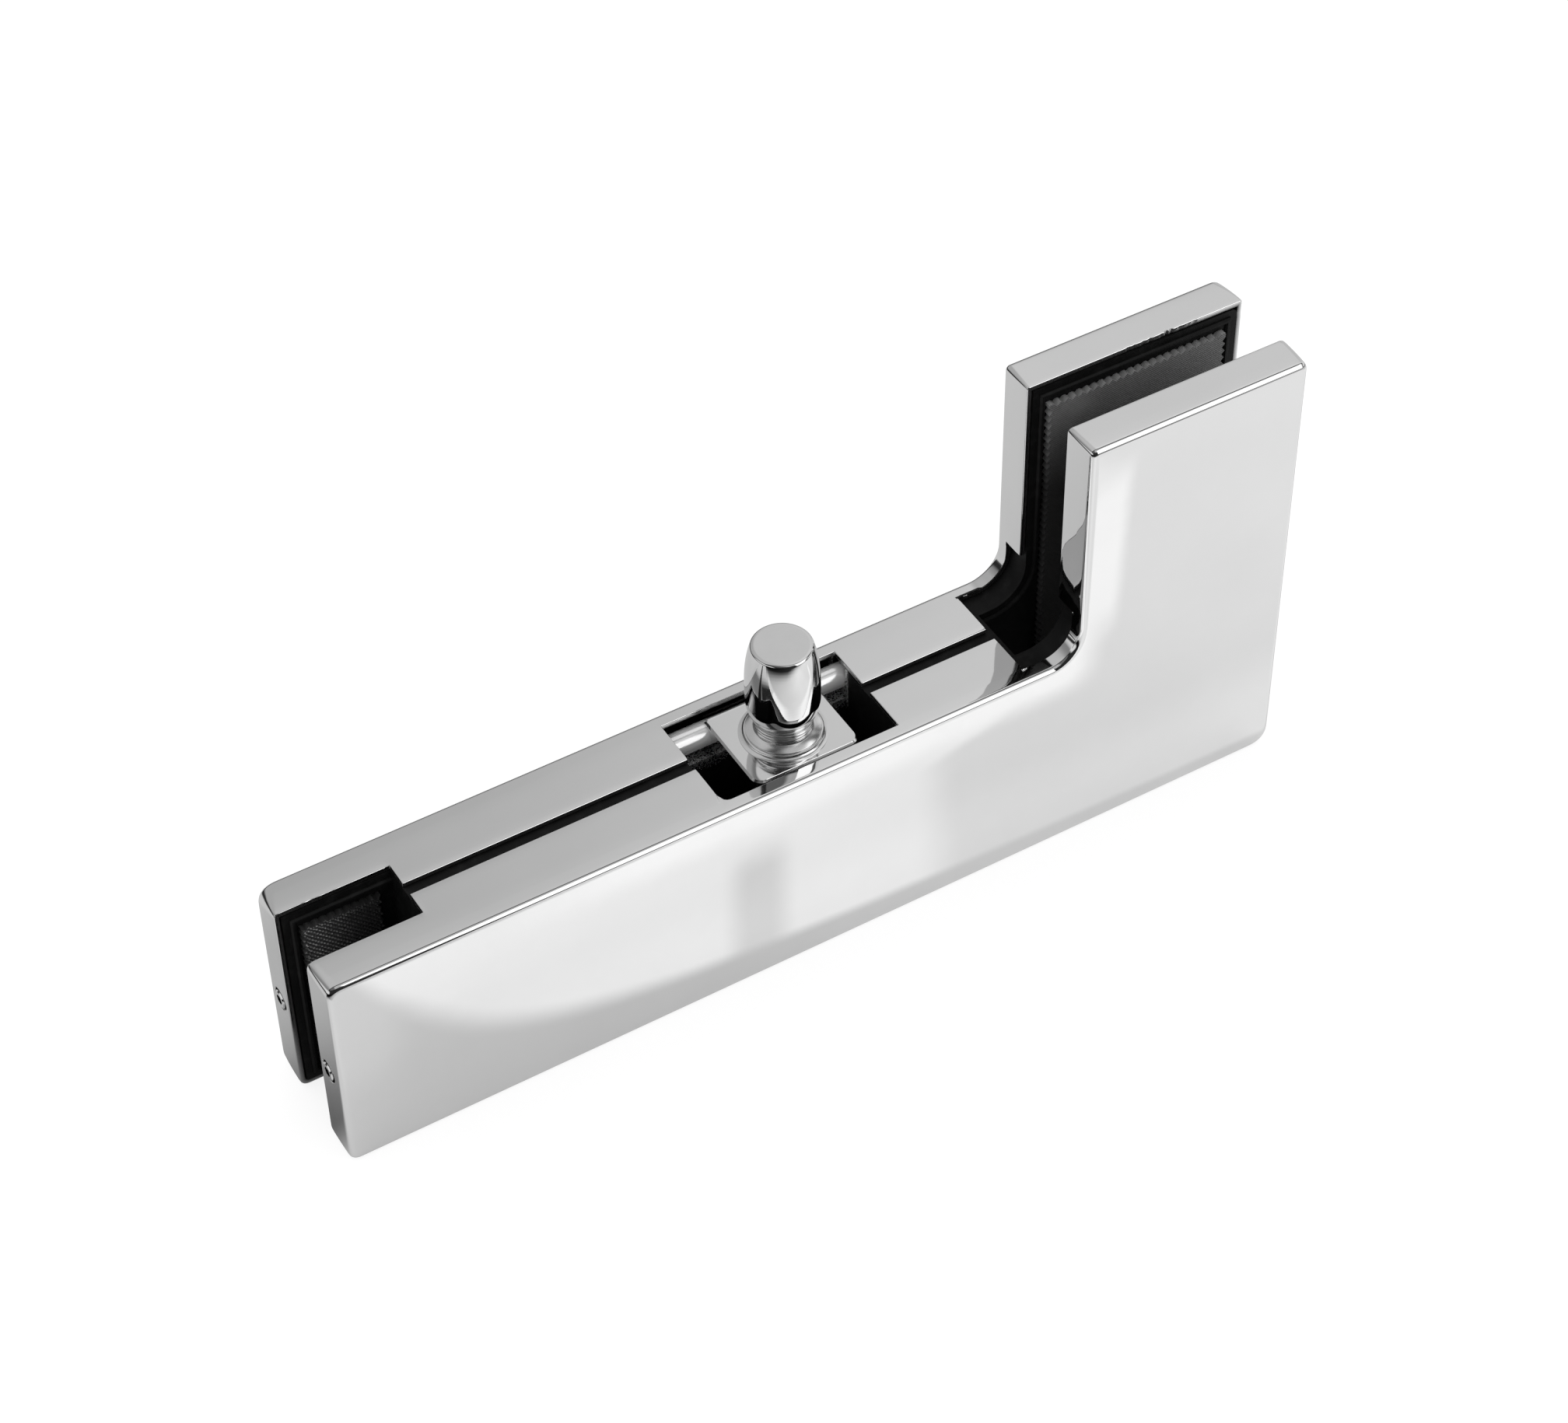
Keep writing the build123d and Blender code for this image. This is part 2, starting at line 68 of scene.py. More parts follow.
def operator(operation: str, swapped: bool = False) -> Callable[..., "Signal"]:
    """A method of a signal that adds one Math node.

    Args:
        operation: The Math node's operation.
        swapped: Whether the other value comes first.

    Returns:
        The method, which takes the other value where the operation has one.
    """
    def method(signal: "Signal", *other: Any) -> "Signal":
        """The operation's value."""
        return signal.maths(operation, *((*other, signal) if swapped else (signal, *other)))

    return method


@dataclass(frozen=True)
class Signal:
    """One socket of a node tree, with arithmetic written as plain expressions."""

    graph: "Graph"
    socket: bpy.types.NodeSocket

    __add__, __radd__ = operator("ADD"), operator("ADD", swapped=True)
    __sub__, __rsub__ = operator("SUBTRACT"), operator("SUBTRACT", swapped=True)
    __mul__, __rmul__ = operator("MULTIPLY"), operator("MULTIPLY", swapped=True)
    __abs__, sine, root = operator("ABSOLUTE"), operator("SINE"), operator("SQRT")
    most, least = operator("MAXIMUM"), operator("MINIMUM")

    def maths(self, operation: str, *values: Any, clamp: bool = False) -> "Signal":
        """Adds a Math node.

        Args:
            operation: The Math node's operation.
            values: Its inputs in order.
            clamp: Whether the result is held between 0 and 1.

        Returns:
            The node's value.
        """
        settings = {"operation": operation, "use_clamp": clamp}
        return self.graph.node("Math", settings, dict(enumerate(values))).out()

    def held(self) -> "Signal":
        """The value held between 0 and 1."""
        return self.maths("ADD", self, 0.0, clamp=True)

    def ramp(self, low: float, high: float, start: float = 0.0, end: float = 1.0) -> "Signal":
        """A smooth step.

        Args:
            low: Value where the step begins.
            high: Value where it ends.
            start: Result before the step.
            end: Result after it.

        Returns:
            The stepped value.
        """
        if low > high:
            low, high, start, end = high, low, end, start
        settings = {"interpolation_type": "SMOOTHSTEP", "clamp": True}
        inputs = {"Value": self, "From Min": low, "From Max": high, "To Min": start, "To Max": end}
        return self.graph.node("MapRange", settings, inputs).out("Result")


@dataclass(frozen=True)
class Made:
    """A node that has been added to a graph."""

    graph: "Graph"
    node: bpy.types.Node

    def out(self, name: str | int = 0) -> Signal:
        """One of the node's outputs, by name or number."""
        return Signal(self.graph, self.node.outputs[name])


class Graph:
    """A node tree that is filled through one method."""

    def __init__(self, tree: bpy.types.NodeTree) -> None:
        """Empties a node tree and takes it over."""
        self.tree = tree
        tree.nodes.clear()

    def node(self, kind: str, settings: dict[str, Any] | None = None,
             inputs: dict[Any, Any] | None = None) -> Made:
        """Adds a node.

        Args:
            kind: The node's type, without the ShaderNode before it.
            settings: Properties of the node.
            inputs: Values or signals for its input sockets, by name or number.

        Returns:
            The node, wrapped.
        """
        node = self.tree.nodes.new("ShaderNode" + kind)
        for key, value in (settings or {}).items():
            setattr(node, key, value)
        for key, value in (inputs or {}).items():
            socket = node.inputs[key]
            if isinstance(value, Signal):
                self.tree.links.new(value.socket, socket)
            else:
                socket.default_value = value
        return Made(self, node)

    def place(self) -> Signal:
        """Object coordinates, in millimetres.

        Returns:
            The place of each point of the surface.
        """
        here = self.node("TexCoord").out("Object")
        settings = {"operation": "SCALE"}
        return self.node("VectorMath", settings, {0: here, "Scale": 1 / MM}).out()

    def axes(self, vector: Signal) -> tuple[Signal, Signal, Signal]:
        """The X, Y and Z of a vector."""
        parts = self.node("SeparateXYZ", inputs={0: vector})
        return parts.out("X"), parts.out("Y"), parts.out("Z")

    def joined(self, x: Any, y: Any, z: Any) -> Signal:
        """A vector from its X, Y and Z."""
        return self.node("CombineXYZ", inputs={"X": x, "Y": y, "Z": z}).out()

    def stretched(self, vector: Signal, factors: Sequence[float]) -> Signal:
        """A vector with each axis multiplied by its own factor."""
        settings = {"operation": "MULTIPLY"}
        return self.node("VectorMath", settings, {0: vector, 1: tuple(factors)}).out()

    def noise(self, vector: Signal, per_mm: float, detail: float = 2.0,
              rough: float = 0.5) -> Signal:
        """Cloudy noise between 0 and 1, with so many features to the millimetre."""
        inputs = {"Vector": vector, "Scale": per_mm, "Detail": detail, "Roughness": rough}
        return self.node("TexNoise", None, inputs).out(0)

    def cells(self, vector: Signal, per_mm: float) -> Made:
        """Cell noise, with so many cells to the millimetre."""
        return self.node("TexVoronoi", None, {"Vector": vector, "Scale": per_mm})

    def mixed(self, share: Any, first: Any, second: Any) -> Signal:
        """Colour between a first and a second one, by a share."""
        inputs = {0: share, 6: first, 7: second}
        return self.node("Mix", {"data_type": "RGBA"}, inputs).out(2)

    def attribute(self, name: str) -> Signal:
        """A mesh's own attribute, 0 where a piece has none of that name."""
        return self.node("Attribute", {"attribute_name": name}).out("Fac")

    def bump(self, height: Signal, depth_mm: float) -> Signal:
        """Normal of a surface whose relief is a height from 0 to 1 times a depth."""
        return self.node("Bump", None, {"Distance": depth_mm * MM, "Height": height}).out()

    def rays(self) -> tuple[Signal, Signal]:
        """What kind of ray meets the surface.

        Returns:
            1 for one from the camera or through glass, and 1 for one off a mirror.
        """
        path = self.node("LightPath")
        straight = (path.out("Is Camera Ray") + path.out("Is Transmission Ray")).held()
        return straight, path.out("Is Glossy Ray")


def grey(level: float) -> Colour:
    """Neutral colour of a linear level."""
    return (level, level, level, 1.0)


class Finish:
    """A surface finish that makes one material and hands it out."""

    name: str

    def material(self) -> bpy.types.Material:
        """The finish's material, made on first use.

        Returns:
            The one material of this name.
        """
        known = bpy.data.materials.get(self.name)
        if known:
            return known
        made = bpy.data.materials.new(self.name)
        made.use_nodes = True
        graph = Graph(made.node_tree)
        shader = graph.node("BsdfPrincipled", None, self.sockets(graph))
        graph.node("OutputMaterial", None, {"Surface": shader.out()})
        return made

    def sockets(self, graph: Graph) -> dict[str, Any]:
        """What the finish puts into the shader's sockets.

        Args:
            graph: The graph that the nodes are added to.

        Returns:
            Values and signals by socket name.
        """
        raise NotImplementedError

    def put_on(self, piece: bpy.types.Object) -> None:
        """Gives a piece this finish alone."""
        piece.data.materials.clear()
        piece.data.materials.append(self.material())


@dataclass(frozen=True)
class MirrorPlate(Finish):
    """Bright plating over a polished casting, dull and darkened by painted shade on the insides
    marked for it.
    """

    name: str = "mirror_plate"
    level: float = 0.80
    cloud: float = 0.025
    roughness: float = 0.035
    haze: float = 0.03
    ripple_mm: float = 0.014
    # Colour of the painted shade on the insides, and their extra roughness.
    inside_shade_level: float = 0.05
    inside_haze: float = 0.42
    metal: float = 1.0

    def sockets(self, graph: Graph) -> dict[str, Any]:
        """Clouded grey, clearer and hazier patches, and a long low ripple.

        Args:
            graph: The material's graph.

        Returns:
            Values and signals by socket name.
        """
        place = graph.place()
        clouds = graph.noise(place, 0.05, 3.0, 0.55)
        wipes = graph.noise(graph.stretched(place, (0.15, 0.5, 1.6)), 0.5, 4.0, 0.6)
        colour = graph.mixed(clouds, grey(self.level - self.cloud), grey(self.level + self.cloud))
        haze = self.roughness + self.haze * wipes.ramp(0.45, 0.85)
        ripple = graph.noise(place, 0.12, 1.0, 0.4)
        # Painted shade: the marked insides are darkened to near black and dulled.
        inside_shade = graph.attribute(INSIDE_SHADE)
        return {"Base Color": graph.mixed(inside_shade, colour, grey(self.inside_shade_level)),
                "Metallic": self.metal, "Roughness": haze + inside_shade * self.inside_haze,
                "Normal": graph.bump(ripple, self.ripple_mm)}


@dataclass(frozen=True)
class TurnedPlate(Finish):
    """Plated turned steel with fine tool rings, which fade out on the polished barrel."""

    name: str = "turned_plate"
    polished_from: float = 55.8
    polish_blend: float = 1.6
    level: float = 0.78
    ring_pitch: float = 0.7

    def sockets(self, graph: Graph) -> dict[str, Any]:
        """Rings stacked along Z below the barrel, with a rougher face between them.

        Args:
            graph: The material's graph.

        Returns:
            Values and signals by socket name.
        """
        place = graph.place()
        z = graph.axes(place)[2]
        tooled = z.ramp(self.polished_from, self.polished_from - self.polish_blend)
        wander = graph.noise(graph.stretched(place, (0.05, 0.05, 1.0)), 2.5, 2.0, 0.5)
        rings = (z * (TAU / self.ring_pitch)).sine() * 0.5 + wander * 0.5
        clouds = graph.noise(place, 0.3, 2.0)
        colour = graph.mixed(clouds, grey(self.level - 0.03), grey(self.level + 0.02))
        return {"Base Color": colour, "Metallic": 1.0,
                "Roughness": 0.035 + tooled * (0.13 + 0.08 * wander),
                "Normal": graph.bump(rings * (0.04 + tooled * 0.96), 0.008)}


@dataclass(frozen=True)
class BlackCast(Finish):
    """Black satin coat over a sand-grained casting, with plating grains by the opening."""

    name: str = "black_cast"
    level: float = 0.005
    gloss: float = 0.12
    relief_mm: float = 0.03
    splash_x: Pair = (-22.4, 17.3)
    splash_edge: float = 0.6
    splash_y: Pair = (6.4, 7.6)
    splash_z: Pair = (37.6, 41.6)
    specks_per_mm: float = 4.2
    speck_level: float = 0.85

    def sockets(self, graph: Graph) -> dict[str, Any]:
        """Near-black satin with a fine grain, and bright specks round the rod's ledge.

        Args:
            graph: The material's graph.

        Returns:
            Values and signals by socket name.
        """
        place = graph.place()
        x, y, z = graph.axes(place)
        grain = graph.noise(place, 1.4, 3.0, 0.5)
        dust = graph.noise(place, 0.35, 3.0, 0.6)
        coat = graph.mixed(dust.ramp(0.45, 0.8), grey(self.level), grey(self.level * 2.2))

        left, right = self.splash_x
        along = x.ramp(left - self.splash_edge, left) * x.ramp(right + self.splash_edge, right)
        density = z.ramp(*self.splash_z)
        specks = graph.cells(place, self.specks_per_mm)
        spark = graph.axes(specks.out("Color"))[0]
        glint = (spark * 0.75 + density * 0.75).ramp(0.92, 1.02) * density.ramp(0.0, 0.2)
        glint = along * y.ramp(*self.splash_y) * glint
        relief = grain * 0.4 + glint * 3.0 * (1 - specks.out("Distance"))
        return {"Base Color": graph.mixed(glint, coat, grey(self.speck_level)), "Metallic": glint,
                "Specular IOR Level": self.gloss, "Roughness": 0.42 + 0.15 * grain - glint * 0.2,
                "Normal": graph.bump(relief, self.relief_mm)}


@dataclass(frozen=True)
class WovenPad(Finish):
    """Dark pressed-fibre gasket with the dimpled weave of its backing cloth.

    It darkens downwards, and along a slant also towards the arm, as painted shade, and its pinked
    teeth carry a painted highlight.
    """

    name: str = "woven_pad"
    level: float = 0.17
    pitch: float = 0.5
    relief_mm: float = 0.03
    shade_z: Pair = (98.0, 68.0)
    shade_level: float = 0.006
    slant: float = 0.3
    slant_from: float = 90.0
    face: float = 5.5
    tooth_highlight: float = 0.30

    def sockets(self, graph: Graph) -> dict[str, Any]:
        """Two crossed sine waves for the threads, lighter on their crowns, with lint, a painted
        highlight on the teeth and painted shade downwards.

        Args:
            graph: The material's graph.

        Returns:
            Values and signals by socket name.
        """
        place = graph.place()
        x, y, z = graph.axes(place)
        turn = TAU / self.pitch
        threads = (x * turn).sine() * (z * turn).sine() * 0.5 + 0.5
        lint = graph.noise(place, 3.0, 4.0, 0.65)
        shade = graph.noise(place, 0.09, 2.0)
        crown = (threads * 0.6 + lint * 0.4).ramp(0.3, 0.8)
        colour = graph.mixed(crown, grey(self.level * 0.35), grey(self.level * 1.5))
        colour = graph.mixed(shade.ramp(0.35, 0.7) * 0.4, colour, grey(self.level * 1.8))
        # Painted highlight on the sides of the pinked teeth.
        teeth = abs(y).ramp(self.face + 0.05, self.face + 0.2) * 0.7
        colour = graph.mixed(teeth, colour, grey(self.tooth_highlight))
        # Painted shade: darker downwards and, along a slant, towards the arm.
        height = z - self.slant * (self.slant_from - x).most(0.0)
        colour = graph.mixed(height.ramp(*self.shade_z) * 0.94, colour, grey(self.shade_level))
        return {"Base Color": colour, "Roughness": 0.62 - 0.15 * lint,
                "Normal": graph.bump(threads * 0.7 + lint * 0.3, self.relief_mm)}


@dataclass(frozen=True)
class KnurledPad(Finish):
    """The same gasket where it is pressed into points, with painted highlights on their tips."""

    name: str = "knurled_pad"
    level: float = 0.05
    back_face: float = 5.9
    shade_x: Pair = (-102.0, -91.0)
    shade_z: Pair = (42.0, 24.0)
    lit_edge_x: Pair = (-103.2, -104.2)

    def sockets(self, graph: Graph) -> dict[str, Any]:
        """Painted highlights where the points stand furthest into the gap, and painted shade down
        and inwards.

        Args:
            graph: The material's graph.

        Returns:
            Values and signals by socket name.
        """
        place = graph.place()
        x, y, z = graph.axes(place)
        # Painted highlight on the tips of the points.
        tip = abs(y).ramp(self.back_face - 0.2, self.back_face - 0.4)
        lint = graph.noise(place, 4.0, 3.0)
        # Painted shade: darker inwards from the arm's end and downwards, a little lighter again at
        # the very edge.
        wear_and_painted_shade = 1 - x.ramp(*self.shade_x) * 0.93
        wear_and_painted_shade = (wear_and_painted_shade * (1 - z.ramp(*self.shade_z) * 0.7)).most(x.ramp(*self.lit_edge_x) * 0.35)
        share = (tip * lint.ramp(0.3, 0.65) + lint * 0.08).held() * wear_and_painted_shade
        colour = graph.mixed(share, grey(self.level * 0.3), grey(self.level * 11.0))
        return {"Base Color": colour, "Roughness": 0.5 - 0.12 * tip,
                "Normal": graph.bump(lint, 0.03)}


@dataclass(frozen=True)
class Mottled(Finish):
    """A plain dark surface with a mottled tone, by default the oiled steel of the clamp screws."""

    name: str = "black_oxide"
    dark: Colour = (0.035, 0.037, 0.042, 1.0)
    light: Colour = (0.075, 0.076, 0.08, 1.0)
    metal: float = 1.0
    grain: tuple[float, float, float] = (0.8, 4.0, 0.6)
    roughness: Pair = (0.28, 0.2)
    relief_mm: float = 0.01

    def sockets(self, graph: Graph) -> dict[str, Any]:
        """One noise for the tone, the sheen and the relief.

        Args:
            graph: The material's graph.

        Returns:
            Values and signals by socket name.
        """
        mottle = graph.noise(graph.place(), *self.grain)
        least, more = self.roughness
        return {"Base Color": graph.mixed(mottle, self.dark, self.light), "Metallic": self.metal,
                "Roughness": least + more * mottle, "Normal": graph.bump(mottle, self.relief_mm)}


def grid_quads(rows: int, columns: int, closed: bool = False) -> np.ndarray:
    """Quads of a grid of points numbered row by row.

    Args:
        rows: Number of rows of points.
        columns: Number of points in a row.
        closed: Whether the last column joins the first.

    Returns:
        One row of four point numbers per quad.
    """
    first = np.arange(columns if closed else columns - 1)
    second = (first + 1) % columns
    base = np.arange(rows - 1)[:, None] * columns
    above = base + columns
    quads = np.stack([base + first, base + second, above + second, above + first], -1)
    return quads.reshape(-1, 4)


def build_mesh(name: str, points: np.ndarray, groups: Sequence[np.ndarray],
               merge: bool = True) -> bpy.types.Object:
    """A mesh object at the origin.

    Args:
        name: Name of the piece.
        points: Points in millimetres, one row each.
        groups: Arrays of faces, each with one row of point numbers per face.
        merge: Whether points at the same place become one.

    Returns:
        The object, linked to the scene, with its faces turned outwards.
    """
    mesh = bpy.data.meshes.new(name)
    faces = [row for group in groups for row in group.tolist()]
    mesh.from_pydata((np.asarray(points, float) * MM).tolist(), [], faces)
    shape = bmesh.new()
    shape.from_mesh(mesh)
    if merge:
        bmesh.ops.remove_doubles(shape, verts=shape.verts, dist=0.002 * MM)
        bmesh.ops.dissolve_degenerate(shape, edges=shape.edges, dist=0.001 * MM)
    bmesh.ops.recalc_face_normals(shape, faces=shape.faces)
    shape.to_mesh(mesh)
    shape.free()
    piece = bpy.data.objects.new(name, mesh)
    bpy.context.scene.collection.objects.link(piece)
    return piece


def soften(piece: bpy.types.Object, angle_deg: float, bevel_mm: float = 0.0) -> None:
    """Rounds a piece's sharp edges and shades it smooth, with its large faces kept flat.

    Args:
        piece: The piece to finish.
        angle_deg: Edges that turn by more than this are sharp.
        bevel_mm: Width of the rounding, or 0 for none.
    """
    piece.data.polygons.foreach_set("use_smooth", np.ones(len(piece.data.polygons), bool))
    if bevel_mm:
        bevel = piece.modifiers.new("edge", "BEVEL")
        bevel.width = bevel_mm * MM
        bevel.segments = 2
        bevel.limit_method = "ANGLE"
        bevel.angle_limit = math.radians(angle_deg)
        bevel.harden_normals = True
        bevel.use_clamp_overlap = False
    else:
        piece.data.set_sharp_from_angle(angle=math.radians(angle_deg))
    weighted = piece.modifiers.new("flat faces", "WEIGHTED_NORMAL")
    weighted.keep_sharp = True
    weighted.weight = 60


def apply_modifiers(piece: bpy.types.Object) -> None:
    """Puts the result of a piece's modifiers into its mesh.

    Args:
        piece: The piece, which has no modifiers afterwards.
    """
    evaluated = piece.evaluated_get(bpy.context.evaluated_depsgraph_get())
    mesh = bpy.data.meshes.new_from_object(evaluated)
    piece.modifiers.clear()
    piece.data = mesh


def turned(name: str, profile: np.ndarray, centre: Pair, base: float,
           around: int = 160) -> bpy.types.Object:
    """A closed solid of revolution about an upright axis.

    The point at step k of the profile and angle a is
    (centre x + r cos a, centre y + r sin a, base + h), with r and h from the profile.

    Args:
        name: Name of the piece.
        profile: Radius and height pairs from the bottom to the top.
        centre: X and Y of the axis.
        base: Z that the heights count from.
        around: Points in each ring.

    Returns:
        The object.
    """
    angles = np.linspace(0, TAU, around, endpoint=False)
    radius, height = profile[:, :1], profile[:, 1:]
    x, y = centre[0] + radius * np.cos(angles), centre[1] + radius * np.sin(angles)
    rings = np.stack([x, y, base + height + 0 * angles], -1)
    return build_mesh(name, rings.reshape(-1, 3), [grid_quads(len(profile), around, closed=True)])


def arc_between(start: Sequence[float], end: Sequence[float], tangent: Sequence[float],
                count: int) -> np.ndarray:
    """Points of the circular arc that leaves a start along a tangent and meets an end.

    The centre lies on the normal at the start, at the distance where it is as far from the
    end: |chord|^2 / (2 chord . normal).

    Args:
        start: First point.
        end: Last point.
        tangent: Direction of the arc at its start.
        count: Number of points, both ends included.

    Returns:
        The points, one row each.
    """
    first, last = np.asarray(start, float), np.asarray(end, float)
    heading = np.asarray(tangent, float) / np.hypot(*tangent)
    normal = np.array([-heading[1], heading[0]])
    chord = last - first
    reach = chord @ normal
    if abs(reach) < 1e-9:
        return first + np.linspace(0, 1, count)[:, None] * chord
    radius = chord @ chord / (2 * reach)
    centre = first + radius * normal
    sweep = np.linspace(0, 2 * math.atan2(abs(reach), chord @ heading), count)[:, None]
    spoke = first - centre
    turn = np.array([-spoke[1], spoke[0]]) * np.sign(radius)
    return centre + spoke * np.cos(sweep) + turn * np.sin(sweep)


def ride(piece: bpy.types.Object, body: str, finish: Finish, node: str) -> None:
    """Dresses a piece, puts it on its body and lets it stand for its CAD node.

    Args:
        piece: The rebuilt piece.
        body: Name of the body that it moves with.
        finish: What it is dressed in.
        node: Name of the CAD node that it replaces.
    """
    finish.put_on(piece)
    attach(piece, body)
    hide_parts(node)
    log.info("%s rides on %s with %d faces", piece.name, body, len(piece.data.polygons))


class Side(Enum):
    """Which of the two covers, by the sign of its Y."""

    FRONT = -1
    REAR = 1


@dataclass
class Outline:
    """The L-shaped outline of a cover as stations along its edge.

    A station's point at an inset is anchor - max(radius, inset) * mitre
    + max(radius - inset, 0) * normal. On a straight run and on the inner corner the radius is 0.
    Round an outer corner the normals follow a superellipse, and the radius is
    lip + (face - lip) * share^opening, with a share from 0 at the glass to 1 at the face.
    On a run that ends at an outer corner, a point is held on the corner's mitre line: it moves
    along the run by max(inset - way to the corner, 0).
    """

    length: float = 218.0
    arm_height: float = 50.9
    leg_height: float = 105.3
    leg_width: float = 51.0
    foot_radii: Pair = (3.4, 2.6)
    heel_radii: Pair = (3.7, 5.2)
    leg_top_radii: Pair = (1.5, 2.4)
    tip_radii: Pair = (1.3, 1.9)
    inner_radius: float = 7.0
    arm_top_radii: Pair = (2.2, 3.4)
    squareness: float = 2.6
    opening: float = 1.4
    pitch: float = 0.55
    arc_steps: int = 14
    stops_x: tuple[float, ...] = (46.8, 17.35, -20.45, -22.45, -84.6)
    stop_z: float = 60.9
    # One row per station, laid out from the sizes.
    anchor: np.ndarray = field(init=False)
    mitre: np.ndarray = field(init=False)
    normal: np.ndarray = field(init=False)
    radius: np.ndarray = field(init=False)
    lip_radius: np.ndarray = field(init=False)
    along: np.ndarray = field(init=False)
    ways: np.ndarray = field(init=False)

    def __post_init__(self) -> None:
        """Lays the stations out, counter-clockwise as the front cover is seen."""
        half = self.length / 2
        inner_x = half - self.leg_width
        corners = [((-half, 0), self.foot_radii), ((half, 0), self.heel_radii),
                   ((half, self.leg_height), self.leg_top_radii),
                   ((inner_x, self.leg_height), self.tip_radii),
                   ((inner_x, self.arm_height), (0.0, -self.inner_radius)),
                   ((-half, self.arm_height), self.arm_top_radii)]
        stops = [[], [], [], [self.stop_z], list(self.stops_x), []]
        rows: list[tuple[np.ndarray, ...]] = []
        for index, (corner, (at_lip, rounding)) in enumerate(corners):
            before = corners[index - 1][0]
            after, (next_at_lip, next_rounding) = corners[(index + 1) % len(corners)]
            incoming = self._unit(np.subtract(corner, before))
            outgoing = self._unit(np.subtract(after, corner))
            bend = self._corner(np.array(corner, float), rounding, incoming, outgoing)
            rows.append((*bend, np.full(len(bend[0]), at_lip)))
            start = np.array(corner, float) + outgoing * max(at_lip, abs(rounding))
            end = np.array(after, float) - outgoing * max(next_at_lip, abs(next_rounding))
            run = self._run(start, end, outgoing, stops[index])
            ways = np.stack([(run[0] - corner) @ outgoing, (after - run[0]) @ outgoing], -1)
            ways = np.where([rounding >= 0, next_rounding >= 0], ways, np.inf)
            rows.append((*run, outgoing + 0 * run[0], ways, np.zeros(len(run[0]))))
        (self.anchor, self.mitre, self.normal, self.radius, self.along, self.ways,
         self.lip_radius) = (np.concatenate(parts) for parts in zip(*rows))

    @staticmethod
    def _unit(vector: np.ndarray) -> np.ndarray:
        """Vector of length 1."""
        return vector / np.hypot(*vector)

    def _corner(self, corner: np.ndarray, rounding: float, incoming: np.ndarray,
                outgoing: np.ndarray) -> tuple[np.ndarray, ...]:
        """Stations round one corner: a concave arc for a negative radius, or a convex curve.

        The convex curve is the superellipse |x|^n + |z|^n = 1, which starts and ends softly.

        Args:
            corner: Where the two straight sides would meet.
            rounding: The corner's radius at the face.
            incoming: Direction of the side before it.
            outgoing: Direction of the side after it.

        Returns:
            Anchors, mitres, normals, radii, directions of the run and ways to its corners.
        """
        first = np.array([incoming[1], -incoming[0]])
        second = np.array([outgoing[1], -outgoing[0]])
        both = first + second
        turn = np.linspace(0, math.pi / 2, self.arc_steps)[:, None]
        power = 2 / self.squareness if rounding > 0 else 1.0
        normals = first * np.cos(turn).clip(0)**power + second * np.sin(turn)**power
        still = (0 * normals, np.full(normals.shape, np.inf))
        if rounding < 0:
            centre = corner + both * -rounding
            return centre + normals * rounding, normals, normals, np.zeros(len(turn)), *still
        ones = np.ones((len(turn), 1))
        return corner * ones, both * ones, normals, np.full(len(turn), rounding), *still

    def _run(self, start: np.ndarray, end: np.ndarray, along: np.ndarray,
             stops: Sequence[float]) -> tuple[np.ndarray, ...]:
        """Stations inside one straight run, with one on each stop and none at its ends.

        Args:
            start: First point of the run.
            end: Last point of the run.
            along: Direction of the run, along X or Z.
            stops: Coordinates along the run that stations have to stand on.

        Returns:
            Anchors, mitres, normals and radii.
        """
        axis = int(abs(along[1]) > 0.5)
        marks = [start[axis], *stops, end[axis]]
        parts = [np.linspace(low, high, max(2, int(abs(high - low) / self.pitch) + 2))
                 for low, high in zip(marks, marks[1:])]
        values = np.concatenate([part[:-1] for part in parts])[1:]
        points = np.repeat(start[None], len(values), 0)
        points[:, axis] = values
        normals = np.array([along[1], -along[0]]) + 0 * points
        return points, normals, normals, np.zeros(len(values))

    def ring(self, inset: np.ndarray | float, share: np.ndarray | float = 1.0) -> np.ndarray:
        """The outline drawn in by an inset.

        Args:
            inset: How far in, for all stations or for each.
            share: The share of the way to the face, for all stations or for each.

        Returns:
            X and Z of every station.
        """
        inset = np.broadcast_to(np.asarray(inset, float), self.radius.shape)
        radius = self.lip_radius + (self.radius - self.lip_radius) * share**self.opening
        outer = np.maximum(radius, inset)[:, None]
        inner = np.maximum(radius - inset, 0)[:, None]
        held = np.maximum(inset[:, None] - self.ways, 0)
        shift = (held[:, 0] - held[:, 1])[:, None]
        return self.anchor - outer * self.mitre + inner * self.normal + shift * self.along

    def to_edge(self, x: np.ndarray, z: np.ndarray) -> list[np.ndarray]:
        """How far points lie inside the outline's edges.

        The inner edge is the arm's top, the leg's left side and the arc between them: up to
        the arc's centre it is the distance to a straight side, and beyond, the distance to
        the centre less the radius.

        Args:
            x: X of the points.
            z: Z of the points.

        Returns:
            Distances to the left, right, lower, leg-top and inner edges.
        """
        half, inner_x = self.length / 2, self.length / 2 - self.leg_width
        centre_x, centre_z = inner_x - self.inner_radius, self.arm_height + self.inner_radius
        round_part = np.hypot(np.maximum(x - centre_x, 0), np.maximum(centre_z - z, 0))
        return [x + half, half - x, z, self.leg_height - z, round_part - self.inner_radius]


